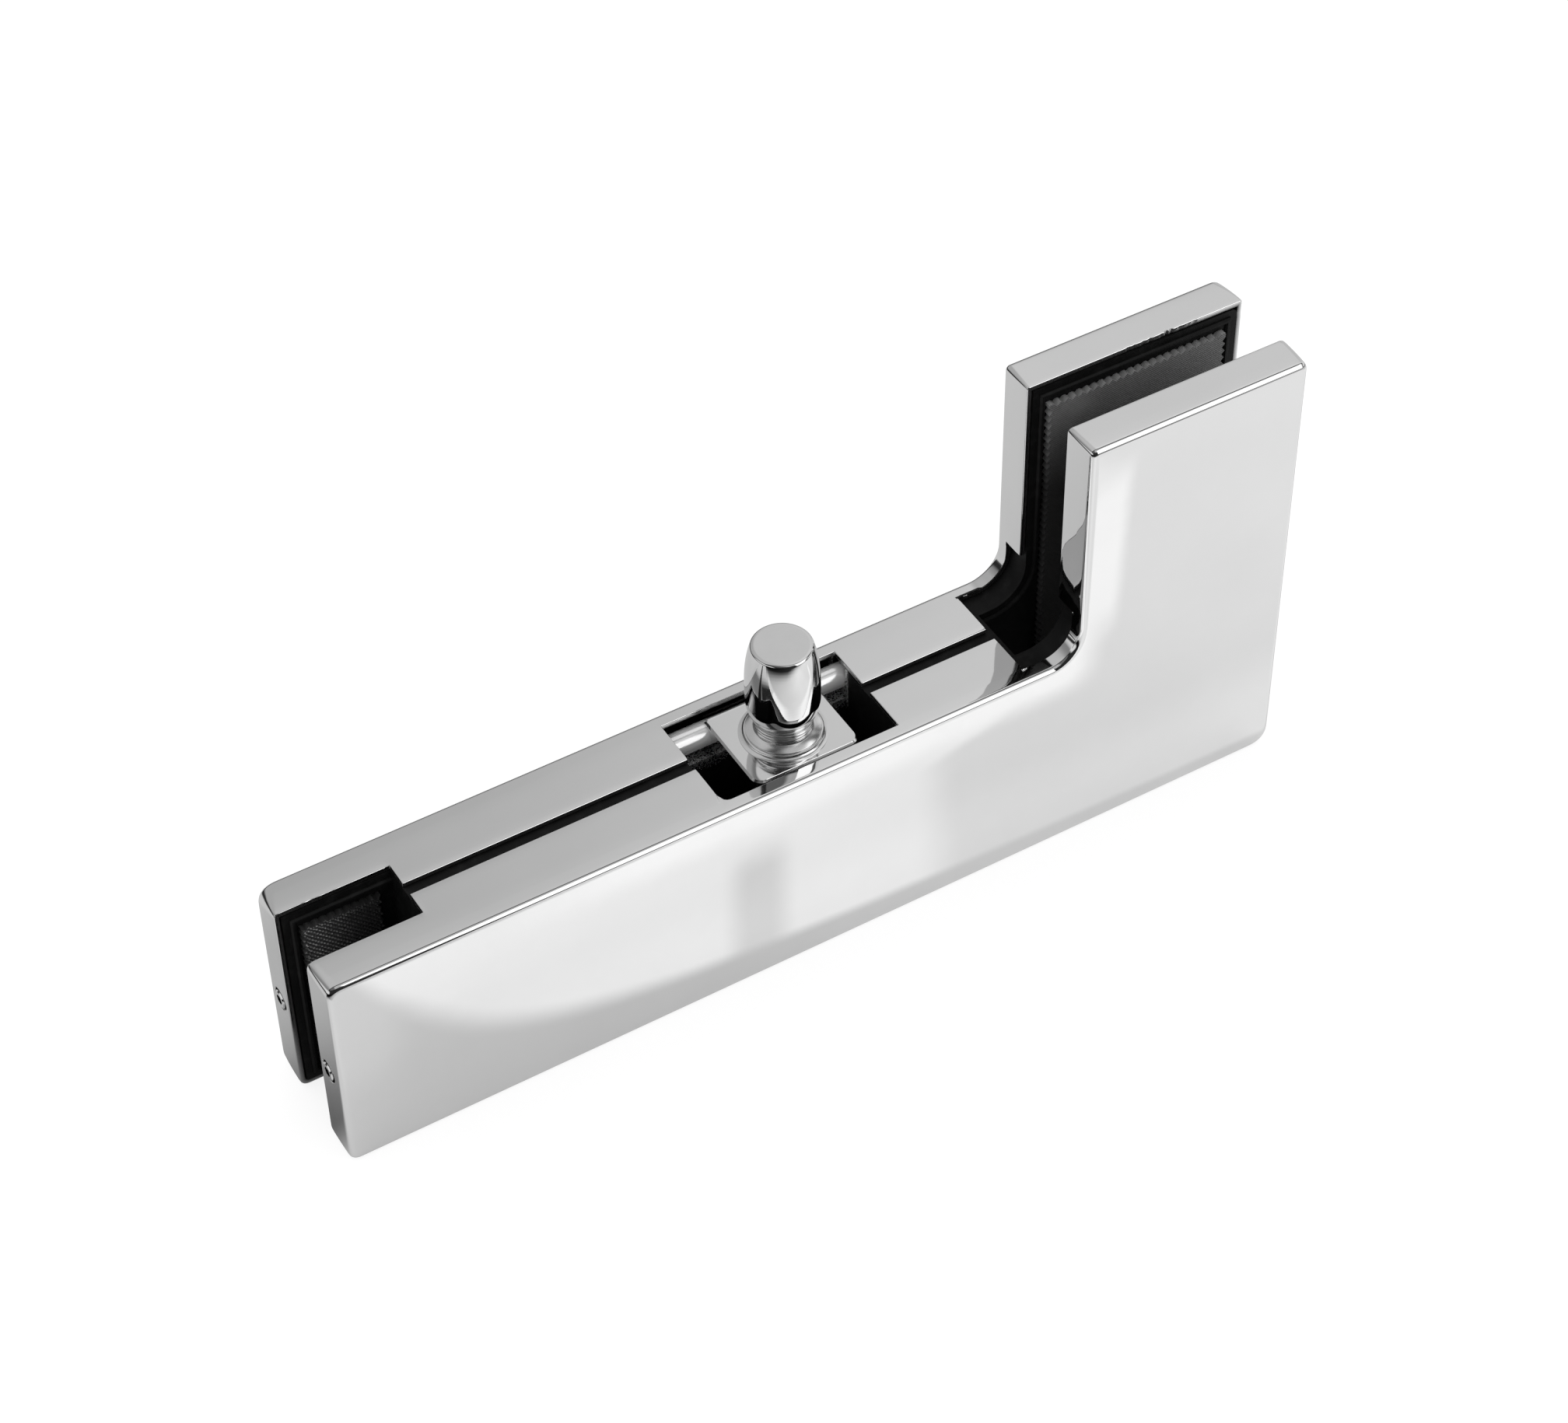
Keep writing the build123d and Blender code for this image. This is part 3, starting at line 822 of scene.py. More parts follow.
@dataclass
class Cover:
    """One pressed cover, rebuilt with its rolled edge, crowned faces and nicked lips."""

    side: Side
    outline: Outline
    half_thickness: float = 15.5
    sheet: float = 1.25
    roll: float = 1.35
    roll_steps: int = 9
    slot: float = 1.5
    glass_edge: float = 6.9
    relief_edge: float = 11.8
    window_edge: float = 12.0
    window_corner: float = 2.0
    rows_between: tuple[float, ...] = (2.0, 2.8, 4.2, 7.4, 8.2, 9.4, 10.6, 12.6, 13.5)
    row_gap: float = 0.05
    flange_crown: float = 0.12
    flange_crown_from: float = 10.0
    lip_curl: float = 0.10
    curl_reach: float = 1.2
    lip_bevel: float = 0.2
    face_crown: float = 0.10
    face_insets: tuple[float, ...] = (1.9, 2.3, 2.9, 3.7, 4.8, 6.0, 7.5, 9.0, 10.5)
    crown_reach: float = 12.0
    lip_wave: float = 0.008
    wear_limit: float = 12.3
    sharp_deg: float = 38.0
    screw_radius: float = 2.45
    screw_y: float = 10.5
    screw_z: float = 23.2
    hole_points: int = 40
    sliver: float = 0.03
    nicks: tuple[Nick, ...] = ()
    finish: Finish = MirrorPlate()

    def lip(self, x: np.ndarray, z: np.ndarray) -> np.ndarray:
        """How far the flange's lip stands back from the middle.

        Args:
            x: X of points on the outline.
            z: Z of the points.

        Returns:
            Distance from the middle to the lip at each point.
        """
        top = self.outline.arm_height
        inner_x = self.outline.length / 2 - self.outline.leg_width
        relief_x, window_right, _, window_left, pocket = self.outline.stops_x
        on_arm = (np.abs(z - top) < NEAR) & (x < inner_x)
        lip = np.full(x.shape, self.glass_edge)
        lip = np.where(on_arm & (x > pocket) & (x < relief_x), self.slot, lip)
        lip = np.where(on_arm & (x > window_left) & (x < window_right), self.window_edge, lip)
        corner = (x > relief_x) & (x < inner_x + NEAR)
        corner &= (z > top - NEAR) & (z < self.outline.stop_z)
        return np.where(corner, self.relief_edge, lip)

    def _wear(self, points: np.ndarray) -> np.ndarray:
        """How far the lip is worn or nicked back at each station.

        A smoothed row of random numbers gives a fine waviness, and near each nicked place the
        peaks of a second, coarser-cut row are added with a bell-shaped weight.

        Args:
            points: X and Z of every station.

        Returns:
            Wear at each station, and 0 round the corners.
        """
        source = np.random.default_rng(11 + self.side.value)
        count = len(points)
        fine = np.convolve(source.normal(size=count + 4), np.ones(5) / 5, "valid")
        chips = np.clip(source.normal(size=count) - 0.2, 0, 1.6)
        wear = self.lip_wave * fine
        for x, z, reach, depth in self.nicks:
            distance = np.hypot(points[:, 0] - x, points[:, 1] - z)
            wear = wear + depth * chips * np.exp(-((distance / reach) ** 2))
        return np.where(self.outline.radius > 0, 0.0, wear)

    def _window_bend(self, edge: np.ndarray) -> np.ndarray:
        """The window's edge, rounded off to the left as a quarter circle.

        Args:
            edge: X and Z of every station.

        Returns:
            Distance from the middle to the window's edge at each station.
        """
        along = edge[:, 0] - self.outline.stops_x[3]
        near = np.abs(edge[:, 1] - self.outline.arm_height) < NEAR
        near &= (along >= -NEAR) & (along <= self.window_corner)
        square = self.window_corner**2 - (self.window_corner - along) ** 2
        rise = self.window_corner - np.sqrt(np.clip(square, 0, None))
        return np.where(near, self.window_edge - rise, self.window_edge)

    def _spread(self, edge: np.ndarray, rows: np.ndarray) -> np.ndarray:
        """Where the rows of points across the flange lie.

        The front window's bend pushes back the rows before it, and wear moves the rows at lips.

        Args:
            edge: X and Z of every station.
            rows: Distance from the middle of each row where nothing bends it.

        Returns:
            Distance from the middle of each row at each station.
        """
        spread = np.repeat(rows[:, None], len(edge), 1)
        glass, window = np.searchsorted(rows, (self.glass_edge, self.window_edge))
        if self.side is Side.FRONT:
            spread[window] = self._window_bend(edge)
            for row in range(window - 1, glass, -1):
                spread[row] = np.minimum(spread[row], spread[row + 1] - self.row_gap)
        wear_and_painted_shade = spread[:window + 1]
        wear_and_painted_shade += self._wear(edge)[None] * (wear_and_painted_shade < self.wear_limit)
        return spread

    def build(self) -> bpy.types.Object:
        """Makes the cover.

        Outside, the flange's inset grows with the square of the way past its crown towards the
        face, and with the square of the way past the curl's reach towards its lip. The rolled
        edge follows a quarter circle, and the face falls away towards it. Inside, the flange
        and the face are flat, one sheet thickness in.

        Returns:
            The cover as one closed mesh.
        """
        outline, count = self.outline, len(self.outline.radius)
        edge = outline.ring(0.0)
        middle = (edge + np.roll(edge, -1, 0)) / 2
        lips = self.lip(middle[:, 0], middle[:, 1])
        start = self.half_thickness - self.roll
        rows = np.sort([self.slot, self.glass_edge, self.relief_edge, self.window_edge, start,
                        *self.rows_between])
        spread = self._spread(edge, rows)

        past = np.clip(spread - self.flange_crown_from, 0, None)
        nearest = np.minimum(lips, np.roll(lips, 1))
        curled = np.clip(1 - np.abs(spread - nearest) / self.curl_reach, 0, 1)
        curled *= nearest < self.relief_edge
        crown = self.flange_crown * (past / (start - self.flange_crown_from)) ** 2
        layers = list(zip(spread, crown + self.lip_curl * curled**2))
        for angle in np.linspace(0, math.pi / 2, self.roll_steps + 1)[1:]:
            inset = self.flange_crown + (self.roll - self.flange_crown) * (1 - math.cos(angle))
            layers.append((start + (self.roll - self.face_crown) * math.sin(angle), inset))
        for inset in (*self.face_insets, self.crown_reach):
            layers.append((self._face(outline.ring(inset)), inset))
        inner_rows = [*spread[:-1], np.full(count, self.half_thickness - self.sheet)]
        points = [self._layer(y, inset) for y, inset in layers]
        points += [self._layer(y, self.sheet) for y in inner_rows]

        solid = rows[:-1, None] + NEAR >= lips[None]
        quads = grid_quads(len(layers), count, closed=True).reshape(-1, count, 4)
        flange, beyond = quads[:len(solid)][solid], quads[len(solid):].reshape(-1, 4)
        inner = len(layers) * count
        ring = np.arange(count)[None]
        groups = [flange, beyond, flange[:, ::-1] + inner, self._walls(solid, inner),
                  ring + inner - count, ring[:, ::-1] + inner + (len(rows) - 1) * count]
        name = f"{self.side.name.lower()}_cover_sheet"
        cover = build_mesh(name, np.concatenate(points), groups)
        self._drill(cover)
        self._mark_inside_shade(cover)
        soften(cover, self.sharp_deg, self.lip_bevel)
        return cover

    def _mark_inside_shade(self, cover: bpy.types.Object) -> None:
        """Marks the points on the cover's inside, one sheet thickness in, for painted shade.

        Args:
            cover: The drilled cover.
        """
        points = np.zeros(len(cover.data.vertices) * 3)
        cover.data.vertices.foreach_get("co", points)
        x, y, z = points.reshape(-1, 3).T / MM
        depth = np.minimum.reduce(self.outline.to_edge(x, z))
        inside = depth > self.sheet - self.sliver
        inside &= np.abs(y) < self.half_thickness - self.sheet + self.sliver
        inside_shade = cover.data.attributes.new(INSIDE_SHADE, "FLOAT", "POINT")
        inside_shade.data.foreach_set("value", inside.astype(float))

    def _face(self, points: np.ndarray) -> np.ndarray:
        """The crowned face.

        It is the half thickness less crown * (1 - s), where s is the product over the edges of
        1 - (1 - u)^2, and u runs from 0 at the rolled edge to 1 at the crown's reach.

        Args:
            points: X and Z of points inside the outline.

        Returns:
            Distance from the middle to the face at each point.
        """
        level = np.ones(len(points))
        for distance in self.outline.to_edge(points[:, 0], points[:, 1]):
            share = np.clip((distance - self.roll) / (self.crown_reach - self.roll), 0, 1)
            level = level * (1 - (1 - share) ** 2)
        return self.half_thickness - self.face_crown * (1 - level)

    def _layer(self, y: np.ndarray | float, inset: np.ndarray | float) -> np.ndarray:
        """One ring of points round the cover.

        Args:
            y: Distance from the middle, for all stations or for each.
            inset: How far inside the outline, for all stations or for each.

        Returns:
            X, Y and Z of every station.
        """
        y = np.asarray(y, float)
        share = np.clip((y - self.glass_edge) / (self.half_thickness - self.glass_edge), 0, 1)
        x, z = self.outline.ring(inset, share).T
        return np.stack([x, self.side.value * np.broadcast_to(y, x.shape), z], -1)

    def _walls(self, solid: np.ndarray, inner_offset: int) -> np.ndarray:
        """Quads through the sheet's thickness wherever a metal cell meets an empty one.

        Args:
            solid: Whether each cell between two rows and two stations is metal.
            inner_offset: Number of the first point on the inside.

        Returns:
            One row of four point numbers per quad.
        """
        count = solid.shape[1]
        below = np.vstack([np.zeros((1, count), bool), solid[:-1]])
        row, column = np.nonzero(solid & ~below)
        first, second = row * count + column, row * count + (column + 1) % count
        lips = np.stack([first, second, second + inner_offset, first + inner_offset], -1)
        row, column = np.nonzero(solid != np.roll(solid, 1, 1))
        low, high = row * count + column, (row + 1) * count + column
        steps = np.stack([low, high, high + inner_offset, low + inner_offset], -1)
        return np.concatenate([lips, steps])

    def _drill(self, cover: bpy.types.Object) -> None:
        """Cuts the two holes for the grub screws, and clears slivers off their rims.

        A cutter is a prism along X whose section is a circle of the screw radius.

        Args:
            cover: The closed cover.
        """
        half, count = self.outline.length / 2, self.hole_points
        angles = np.linspace(0, TAU, count, endpoint=False)
        y = self.side.value * self.screw_y + self.screw_radius * np.cos(angles)
        z = self.screw_z + self.screw_radius * np.sin(angles)
        for end in (-1, 1):
            ends = (end * (half + 1), end * (half - self.sheet - 1))
            rings = np.concatenate([np.stack([0 * angles + x, y, z], -1) for x in ends])
            caps = np.arange(2 * count).reshape(2, 1, count)
            cutter = build_mesh("cutter", rings, [grid_quads(2, count, closed=True), *caps])
            cut = cover.modifiers.new("hole", "BOOLEAN")
            cut.operation = "DIFFERENCE"
            cut.object = cutter
            cut.solver = "EXACT"
            apply_modifiers(cover)
            bpy.data.objects.remove(cutter)
        shape = bmesh.new()
        shape.from_mesh(cover.data)
        bmesh.ops.dissolve_degenerate(shape, edges=shape.edges, dist=self.sliver * MM)
        shape.to_mesh(cover.data)
        shape.free()


@dataclass
class Pivot:
    """The turned pin and its flanged bush, on the sliding block."""

    x: float = -1.7
    block_top: float = 48.9
    land_radius: float = 7.5
    land_from: float = 10.3
    land_to: float = 13.3
    top: float = 23.8
    top_radius: float = 6.3
    top_round: float = 0.45
    barrel_power: float = 2.4
    neck_radius: float = 5.95
    neck_top: float = 4.6
    collar_radius: float = 7.6
    collar_edge: float = 1.4
    collar_cone: float = 0.6
    foot_radius: float = 9.0
    rim_radius: float = 7.9
    rim_height: float = 1.0
    stem_radius: float = 5.0
    stem_length: float = 18.0
    sleeve_radius: float = 6.5
    sleeve_length: float = 12.0
    tool_pitch: float = 0.75
    tool_step: float = 0.035
    sharp_deg: float = 30.0

    def pin_profile(self) -> np.ndarray:
        """Radius and height from the stem to the crown, with tool steps on the neck.

        Above the land the barrel's radius is land - (land - top) * u^power, with u from 0 to 1
        up to the rim.

        Returns:
            Pairs of radius and height.
        """
        shoulder = self.collar_edge + self.collar_cone
        groove = [(self.collar_radius - 0.12, self.rim_height),
                  (self.collar_radius, self.rim_height + 0.1),
                  (self.collar_radius, self.collar_edge - 0.08),
                  (self.collar_radius - 0.1, self.collar_edge)]
        cone = [(self.neck_radius + 0.32, shoulder - 0.12), (self.neck_radius + 0.08, shoulder),
                (self.neck_radius, shoulder + 0.2)]
        heights = np.linspace(shoulder + 0.35, self.neck_top, 26)
        steps = self.tool_step * np.sign(np.sin(heights * TAU / self.tool_pitch)) - 0.02
        neck = np.stack([self.neck_radius + steps, heights], -1)
        land = (self.land_radius, self.land_from)
        swell = arc_between(land, (self.neck_radius, self.neck_top), (0, -1), 26)[::-1]
        top_edge = self.top - self.top_round
        share = np.linspace(0, 1, 36)
        taper = np.stack([
            self.land_radius - (self.land_radius - self.top_radius) * share**self.barrel_power,
            self.land_to + (top_edge - self.land_to) * share], -1)
        rim = (self.top_radius - self.top_round, self.top)
        crown = arc_between(taper[-1], rim, taper[-1] - taper[-2], 9)
        flat = [(self.top_radius * share, self.top) for share in (0.85, 0.6, 0.3, 0.0)]
        stem = [(0.0, -self.stem_length), (self.stem_radius, -self.stem_length),
                (self.stem_radius, self.rim_height)]
        return np.concatenate([stem, groove, cone, neck, swell[1:], taper, crown[1:], flat])

    def bush_profile(self) -> np.ndarray:
        """Radius and height from the sleeve to the rim, its foot flared like a trumpet.

        Returns:
            Pairs of radius and height.
        """
        share = np.linspace(0, 1, 14)
        drawn_in = (self.foot_radius - self.rim_radius) * np.sqrt(1 - (1 - share) ** 2)
        heights = 0.12 + (self.rim_height - 0.22) * share
        flare = np.stack([self.foot_radius - drawn_in, heights], -1)
        sleeve = [(self.stem_radius, -self.sleeve_length),
                  (self.sleeve_radius, -self.sleeve_length),
                  (self.sleeve_radius, 0.0), (self.foot_radius, 0.0)]
        rim = [(self.rim_radius - 0.1, self.rim_height - 0.04),
               (self.rim_radius - 0.25, self.rim_height),
               (self.stem_radius, self.rim_height), (self.stem_radius, -self.sleeve_length)]
        return np.concatenate([sleeve, flare, rim])

    def build(self) -> None:
        """Makes the pin and the bush and puts them on the carriage."""
        bush_plate = TurnedPlate(name="bush_plate", polished_from=80.0, ring_pitch=0.5)
        for node, word, profile, slot, finish in (
                ("pivot_pin", "turned", self.pin_profile(), "pin_chrome", TurnedPlate()),
                ("pivot_bush", "flared", self.bush_profile(), "bush_steel", bush_plate)):
            piece = turned(f"{node}_{word}", profile, (self.x, 0.0), self.block_top)
            soften(piece, self.sharp_deg)
            ride(piece, CARRIAGE, finish, node)


@dataclass
class PointedPad:
    """A clamping pad pressed into diamond points, with its edge cut through them."""

    node: str
    side: Side
    low: Pair
    high: Pair
    face: float = 5.5
    back: float = 7.3
    relief: float = 0.4
    pitch: float = 0.8
    step: float = 0.125
    diagonals: Pair = (0.65, 0.35)
    unevenness: float = 0.15
    tooth_pitch: float = 1.75
    tooth: float = 0.75
    rims: Pair = (0.16, 0.065)
    sharp_deg: float = 55.0

    def build(self) -> None:
        """Makes the pad.

        The height of the face at (x, z) is relief * (a tri(u) + b tri(v)), where u and v run
        along the two diagonals, a and b are their weights and tri is a triangle wave of the
        pitch. Within its rim the edge is drawn in by tooth times a wave with a whole number of
        teeth, taken along it.
        """
        columns = int((self.high[0] - self.low[0]) / self.step)
        rows = int((self.high[1] - self.low[1]) / self.step)
        x, z = np.meshgrid(np.linspace(self.low[0], self.high[0], columns),
                           np.linspace(self.low[1], self.high[1], rows))
        first, second = self.diagonals
        height = (self._wave((x + z) / math.sqrt(2), self.pitch) * first
                  + self._wave((x - z) / math.sqrt(2), self.pitch) * second)
        uneven = 1 + self.unevenness * np.random.default_rng(5).normal(size=height.shape)
        height = np.clip(height * uneven, 0, 1)
        pulls = []
        for value, other, axis in ((x, z, 0), (z, x, 1)):
            centre = (self.low[axis] + self.high[axis]) / 2
            edge = np.abs(value - centre) / (self.high[axis] - centre)
            near = np.clip((edge - 1 + self.rims[axis]) / self.rims[axis], 0, 1)
            teeth = self.tooth * self._teeth(other, 1 - axis)
            pulls.append(np.sign(value - centre) * teeth * near)
        x, z = x - pulls[0], z - pulls[1]
        y = self.side.value * (self.face + self.relief * (1 - height))
        top = np.stack([x, y, z], -1).reshape(-1, 3)
        ring = self._border(rows, columns)
        skirt = top[ring].copy()
        skirt[:, 1] = self.side.value * self.back
        low = len(top) + np.arange(len(ring))
        walls = np.stack([ring, np.roll(ring, -1), np.roll(low, -1), low], -1)
        groups = [grid_quads(rows, columns), walls, low[None, ::-1]]
        points = np.concatenate([top, skirt])
        pad = build_mesh(f"{self.node}_points", points, groups, merge=False)
        soften(pad, self.sharp_deg)
        ride(pad, FITTING, KnurledPad(), self.node)

    @staticmethod
    def _wave(value: np.ndarray, pitch: float) -> np.ndarray:
        """Triangle wave of a pitch, from 0 to 1."""
        return np.abs((value / pitch) % 1 * 2 - 1)

    def _teeth(self, value: np.ndarray, axis: int) -> np.ndarray:
        """Triangle wave with a whole number of teeth, 0 at their tips.

        Args:
            value: Coordinates along the axis.
            axis: 0 for X or 1 for Z.

        Returns:
            The wave at each coordinate, from 0 to 1.
        """
        start, length = self.low[axis], self.high[axis] - self.low[axis]
        pitch = length / round(length / self.tooth_pitch)
        return 1 - self._wave(value - start, pitch)

    @staticmethod
    def _border(rows: int, columns: int) -> np.ndarray:
        """Point numbers round the edge of a grid, in order."""
        number = np.arange(rows * columns).reshape(rows, columns)
        return np.concatenate([number[0, :-1], number[:-1, -1],
                               number[-1, :0:-1], number[:0:-1, 0]])


@dataclass
class Studio:
    """Floor, light and camera for the photograph's view."""

    camera_place: tuple[float, float, float] = (-261.08, -446.13, 578.70)
    azimuth: float = -30.195
    elevation: float = 45.460
    roll: float = -1.017
    focal_px: float = 4835.67
    width_px: float = 2016.0
    sensor: float = 36.0
    clip: Pair = (0.02, 20.0)
    floor_radii: tuple[float, ...] = (32.0, 160.0, 480.0, 1280.0, 1600.0)
    floor_points: int = 96
    paper: float = 0.24
    paper_glow: float = 0.81
    mirrored_paper: float = 0.775
    mirrored_glow: float = 0.30
    plain_paper: float = 0.7
    front_face: float = 15.5
    view_slant: float = 0.582

    def camera(self) -> None:
        """Sets the camera up as the photograph's was found to stand."""
        around, above, tilt = (
            math.radians(angle) for angle in (self.azimuth, self.elevation, self.roll))
        back = Vector((math.sin(around) * math.cos(above), -math.cos(around) * math.cos(above),
                       math.sin(above)))
        level = Vector((0, 0, 1)).cross(back).normalized()
        rise = back.cross(level)
        right = level * math.cos(tilt) + rise * math.sin(tilt)
        up = rise * math.cos(tilt) - level * math.sin(tilt)
        data = bpy.data.cameras.new("camera")
        data.sensor_width = self.sensor
        data.lens = self.focal_px * self.sensor / self.width_px
        data.clip_start, data.clip_end = self.clip
        camera = bpy.data.objects.new("camera", data)
        turn = Matrix((right, up, back)).transposed().to_4x4()
        camera.matrix_world = Matrix.Translation(Vector(self.camera_place) * MM) @ turn
        bpy.context.scene.collection.objects.link(camera)
        bpy.context.scene.camera = camera

    def floor(self) -> None:
        """Lays a pale disc.

        It shows white with a soft shadow to the camera, has the floor's tone in a mirror, and
        lights the object evenly.
        """
        angles = np.linspace(0, TAU, self.floor_points, endpoint=False)
        radii = np.array(self.floor_radii)[:, None]
        rings = np.stack([radii * np.cos(angles), radii * np.sin(angles), 0 * radii * angles], -1)
        faces = [grid_quads(len(radii), self.floor_points, closed=True),
                 np.arange(self.floor_points)[None]]
        floor = build_mesh("floor", rings.reshape(-1, 3), faces)
        shader = bpy.data.materials.new("floor_paper")
        shader.use_nodes = True
        graph = Graph(shader.node_tree)
        x, y, _ = graph.axes(graph.place())
        tone = self._floor_tone(graph, x, y)
        seen, glossy = graph.rays()

        def added(paper: Any, glow: Any) -> Signal:
            """A matt surface that also glows by itself.

            Args:
                paper: Colour of the matt part.
                glow: Colour of the light that it gives off.

            Returns:
                The surface.
            """
            matt = graph.node("BsdfDiffuse", None, {"Color": paper}).out()
            light = graph.node("Emission", None, {"Color": glow, "Strength": 1.0}).out()
            return graph.node("AddShader", None, {0: matt, 1: light}).out()

        shown = added(grey(self.paper), grey(self.paper_glow))
        mirrored = added(graph.mixed(tone * 0.8, grey(0.0), grey(self.mirrored_paper)),
                         graph.mixed(tone * self.mirrored_glow, grey(0.0), grey(1.0)))
        plain = graph.node("BsdfDiffuse", None, {"Color": grey(self.plain_paper)}).out()
        other = graph.node("MixShader", None, {0: glossy, 1: plain, 2: mirrored}).out()
        every = graph.node("MixShader", None, {0: seen, 1: other, 2: shown}).out()
        graph.node("OutputMaterial", None, {"Surface": every})
        floor.data.materials.append(shader)

    def _floor_tone(self, graph: Graph, x: Signal, y: Signal) -> Signal:
        """How light the floor is in a mirror.

        In front it is dim close by the arm's foot and end, a painted shadow of the object, past a
        curved border it is bright with one soft fold, brightest in a band some way off, and dark
        far off. Behind and beside the arm's end it is a middle grey that darkens towards the
        object, again a painted shadow. The steps' ends are in millimetres.

        Args:
            graph: The floor's graph.
            x: X on the floor.
            y: Y on the floor.

        Returns:
            The tone, 1 for plain paper.
        """
        far = (x * x + y * y).root()
        ahead = -self.front_face - y
        across = x - ahead * self.view_slant
        lit = ((x + 100).most(0.0) * ahead.most(0.0)).ramp(400.0, 720.0)
        # Painted shadow of the object: the floor is dim close by the arm's foot and end.
        dim = 0.77 + 0.11 * x.ramp(-50.0, 60.0)
        dim = dim + 0.06 * across.ramp(-96.0, -106.0) * ahead.ramp(12.0, 24.0)
        fold = 0.25 * abs(across + 17).ramp(10.0, 2.0) * ahead.ramp(34.0, 24.0)
        warm = (across - 16 * ahead.ramp(30.0, 38.0)).ramp(33.0, 20.0)
        bright = 0.94 + 0.10 * ahead.ramp(26.0, 10.0) + 0.20 * warm - fold
        front = dim + (bright - dim) * lit
        rim = ahead.ramp(32.0, 42.0) * across.ramp(72.0, 58.0) * across.ramp(-88.0, -35.0)
        front = front + (1.30 - front) * rim
        streak = abs(x - 56 - 0.8 * ahead).ramp(10.0, 4.0) * ahead.ramp(100.0, 80.0)
        beyond = (0.90 + 0.0027 * x).least(1.0) - 0.07 * x.ramp(60.0, 95.0) + 0.24 * streak
        front = front + (beyond - front) * ahead.ramp(42.0, 54.0)
        reach = far - 0.5 * (x + 60).most(0.0)
        front = front * reach.ramp(130.0, 270.0, 1.0, 0.03)
        # Painted shadow behind and beside the arm's end, darker towards the object.
        beside = ((x + 105) * (x + 105) + (y + 18) * (y + 18)).root()
        behind = 0.18 + 0.33 * beside.ramp(10.0, 50.0) + 0.15 * beside.ramp(60.0, 95.0)
        behind = behind * far.ramp(260.0, 620.0, 1.0, 0.10)
        near = behind + (front - behind) * ahead.ramp(-11.5, 2.0)
        clouds = graph.noise(graph.joined(x, y, 0.0), 0.016, 1.0, 0.4)
        return near.most(0.62 * x.ramp(260.0, 420.0)) * (0.95 + 0.10 * clouds)

    def world(self) -> None:
        """Lights the room: white to the camera, soft boxes and dark gaps to the polished metal."""
        world = bpy.data.worlds.new("studio")
        bpy.context.scene.world = world
        world.use_nodes = True
        graph = Graph(world.node_tree)
        x, y, z = graph.axes(graph.node("TexCoord").out("Generated"))
        seen, glossy = graph.rays()
        soft = 0.85 + 0.35 * z.ramp(-0.1, 0.9)
        level = soft * (1 - glossy) + self._room(x, y, z) * glossy
        level = level * (1 - seen) + seen
        light = graph.node("Background", None, {"Color": grey(1.0), "Strength": level})
        graph.node("OutputWorld", None, {"Surface": light.out()})

    @staticmethod
    def _room(x: Signal, y: Signal, z: Signal) -> Signal:
        """What a mirror sees of the room above the floor.

        Behind the object a grey wall rises to a lighter ceiling, above a dark foot. In front a
        large soft box stands to the right, whose lower edge falls from left to right, under a
        dim ceiling that a dark gap divides from the wall. A low light strip stands at either side.
        The steps' ends are parts of a direction of length 1.

        Args:
            x: X of the direction.
            y: Y of the direction.
            z: Z of the direction.

        Returns:
            The room's brightness in that direction.
        """
        wall = 0.45 * z.ramp(0.08, 0.34) + 0.12 * z.ramp(0.66, 0.86)
        wall = wall + 0.24 * x.ramp(0.20, 0.44) * z.ramp(0.4, 0.6)
        wall = wall.most(0.60 * x.ramp(0.46, 0.62)) * x.ramp(-0.75, -0.45, 0.55, 1.0)
        lower = x.ramp(0.18, 0.29, 0.80, 0.04)
        box = 1.55 * (z - lower).ramp(-0.05, 0.05) * z.ramp(0.90, 0.78)
        box = box * x.ramp(0.14, 0.22) * x.ramp(0.80, 0.62)
        ceiling = (0.15 + 0.38 * x.ramp(-0.25, -0.05) * x.ramp(0.60, 0.45)) * z.ramp(0.60, 0.72)
        box = box.most(ceiling)
        is_front = y.ramp(0.04, -0.12)
        gap = y.ramp(-0.16, -0.11) * y.ramp(0.13, 0.03)
        sides = 0.8 * abs(x).ramp(0.74, 0.88) * z.ramp(0.60, 0.40) * z.ramp(0.02, 0.12)
        return ((box * is_front + wall * (1 - is_front)) * (1 - gap * 0.9)).most(sides).most(0.025)

    def build(self) -> None:
        """Sets the whole studio up."""
        self.camera()
        self.floor()
        self.world()
        bpy.context.scene.view_settings.view_transform = "Standard"


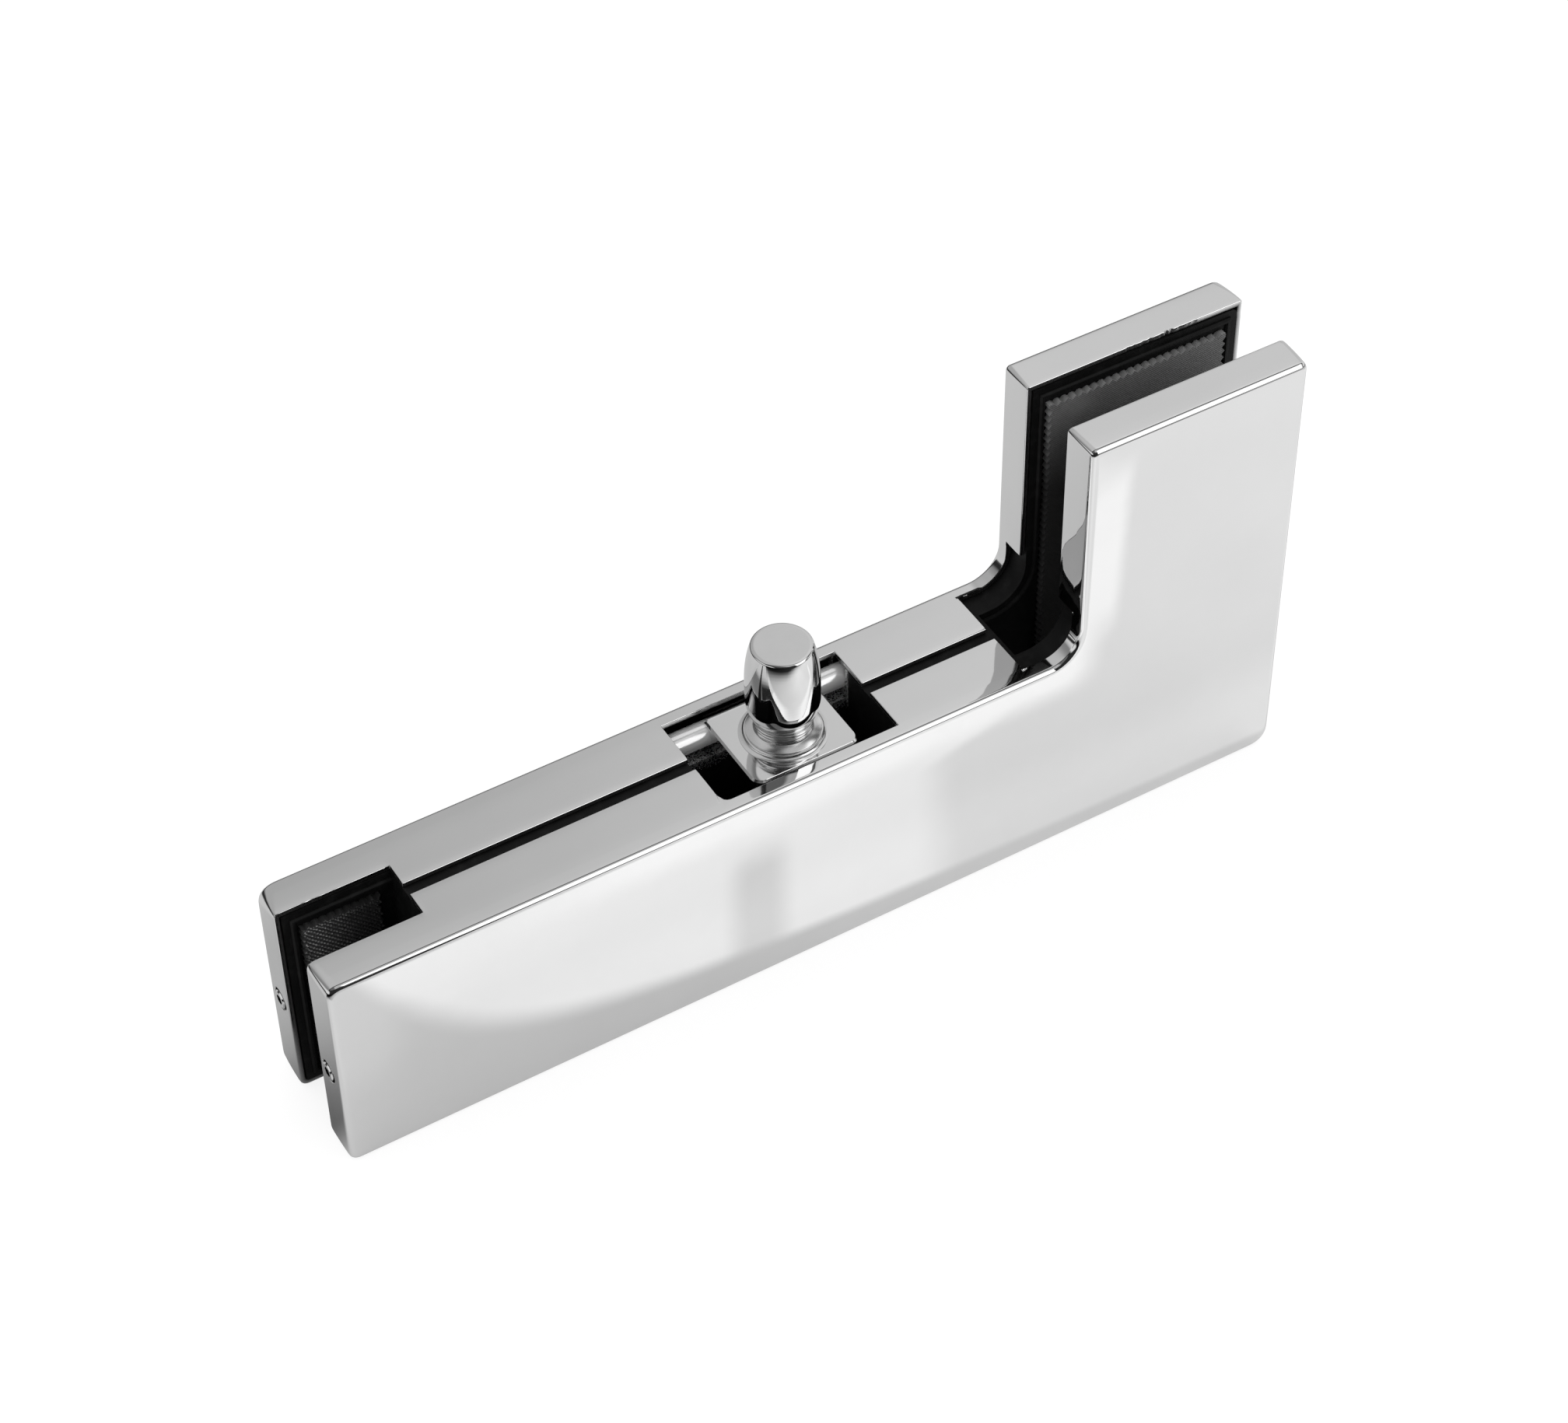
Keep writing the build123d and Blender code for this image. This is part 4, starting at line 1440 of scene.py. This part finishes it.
@dataclass
class Fitting:
    """The whole object: rebuilt pieces and dressed CAD nodes."""

    front_outline: Outline = field(default_factory=Outline)
    rear_outline: Outline = field(default_factory=lambda: Outline(
        foot_radii=(2.4, 3.7), leg_top_radii=(0.6, 2.5), tip_radii=(0.8, 1.7),
        arm_top_radii=(1.2, 5.0)))
    pivot: Pivot = field(default_factory=Pivot)
    rear_nicks: tuple[Nick, ...] = (
        (89.0, 105.3, 7.0, 0.20), (107.5, 102.5, 3.0, 0.10), (48.5, 50.9, 2.2, 0.14),
        (45.8, 50.9, 1.6, 0.10), (-100.0, 50.9, 4.0, 0.05), (-14.0, 50.9, 7.0, 0.06))

    def covers(self) -> None:
        """Makes both covers."""
        for side, outline, nicks in ((Side.FRONT, self.front_outline, ()),
                                     (Side.REAR, self.rear_outline, self.rear_nicks)):
            made = Cover(side=side, outline=outline, nicks=nicks)
            ride(made.build(), FITTING, made.finish, f"{side.name.lower()}_cover")

    def pads(self) -> None:
        """Makes the two pads in the arm's end."""
        for side in Side:
            PointedPad(node=f"{side.name.lower()}_arm_pad", side=side, low=(-104.4, 4.0),
                       high=(-87.6, 45.3)).build()

    def dress(self) -> None:
        """Gives every CAD node that stays visible its finish."""
        oxide, steel = Mottled(), MirrorPlate(name="grub_plate", roughness=0.07)
        finishes: dict[str, Finish] = {
            "pivot_block": MirrorPlate(),
            "guide_rod": MirrorPlate(name="ground_rod", level=0.92, roughness=0.16, haze=0.05,
                                     metal=0.5),
            "leg_bush": Mottled(
                name="moulded_black", dark=grey(0.018), light=grey(0.03), metal=0.0,
                grain=(3.5, 3.0, 0.55), roughness=(0.45, 0.15), relief_mm=0.015),
            **{f"{half}_body": BlackCast() for half in ("front", "rear")},
            **{f"{half}_{place}_pad": WovenPad() for half in ("front", "rear")
               for place in ("leg", "lower")},
            **{f"clamp_screw_{place}": oxide for place in ("left", "right", "leg")},
            **{f"{half}_cover_screw_{end}": steel for half in ("front", "rear")
               for end in ("left", "right")}}
        for node, finish in finishes.items():
            finish.put_on(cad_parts[node])
            log.info("%s dressed in %s", node, finish.name)

    def build(self) -> None:
        """Makes and dresses everything."""
        self.covers()
        self.pivot.build()
        self.pads()
        self.dress()


def main() -> None:
    """Builds the studio and the fitting."""
    logging.basicConfig(level=logging.INFO, format="%(message)s")
    Studio().build()
    Fitting().build()


if __name__ == "__main__":
    main()
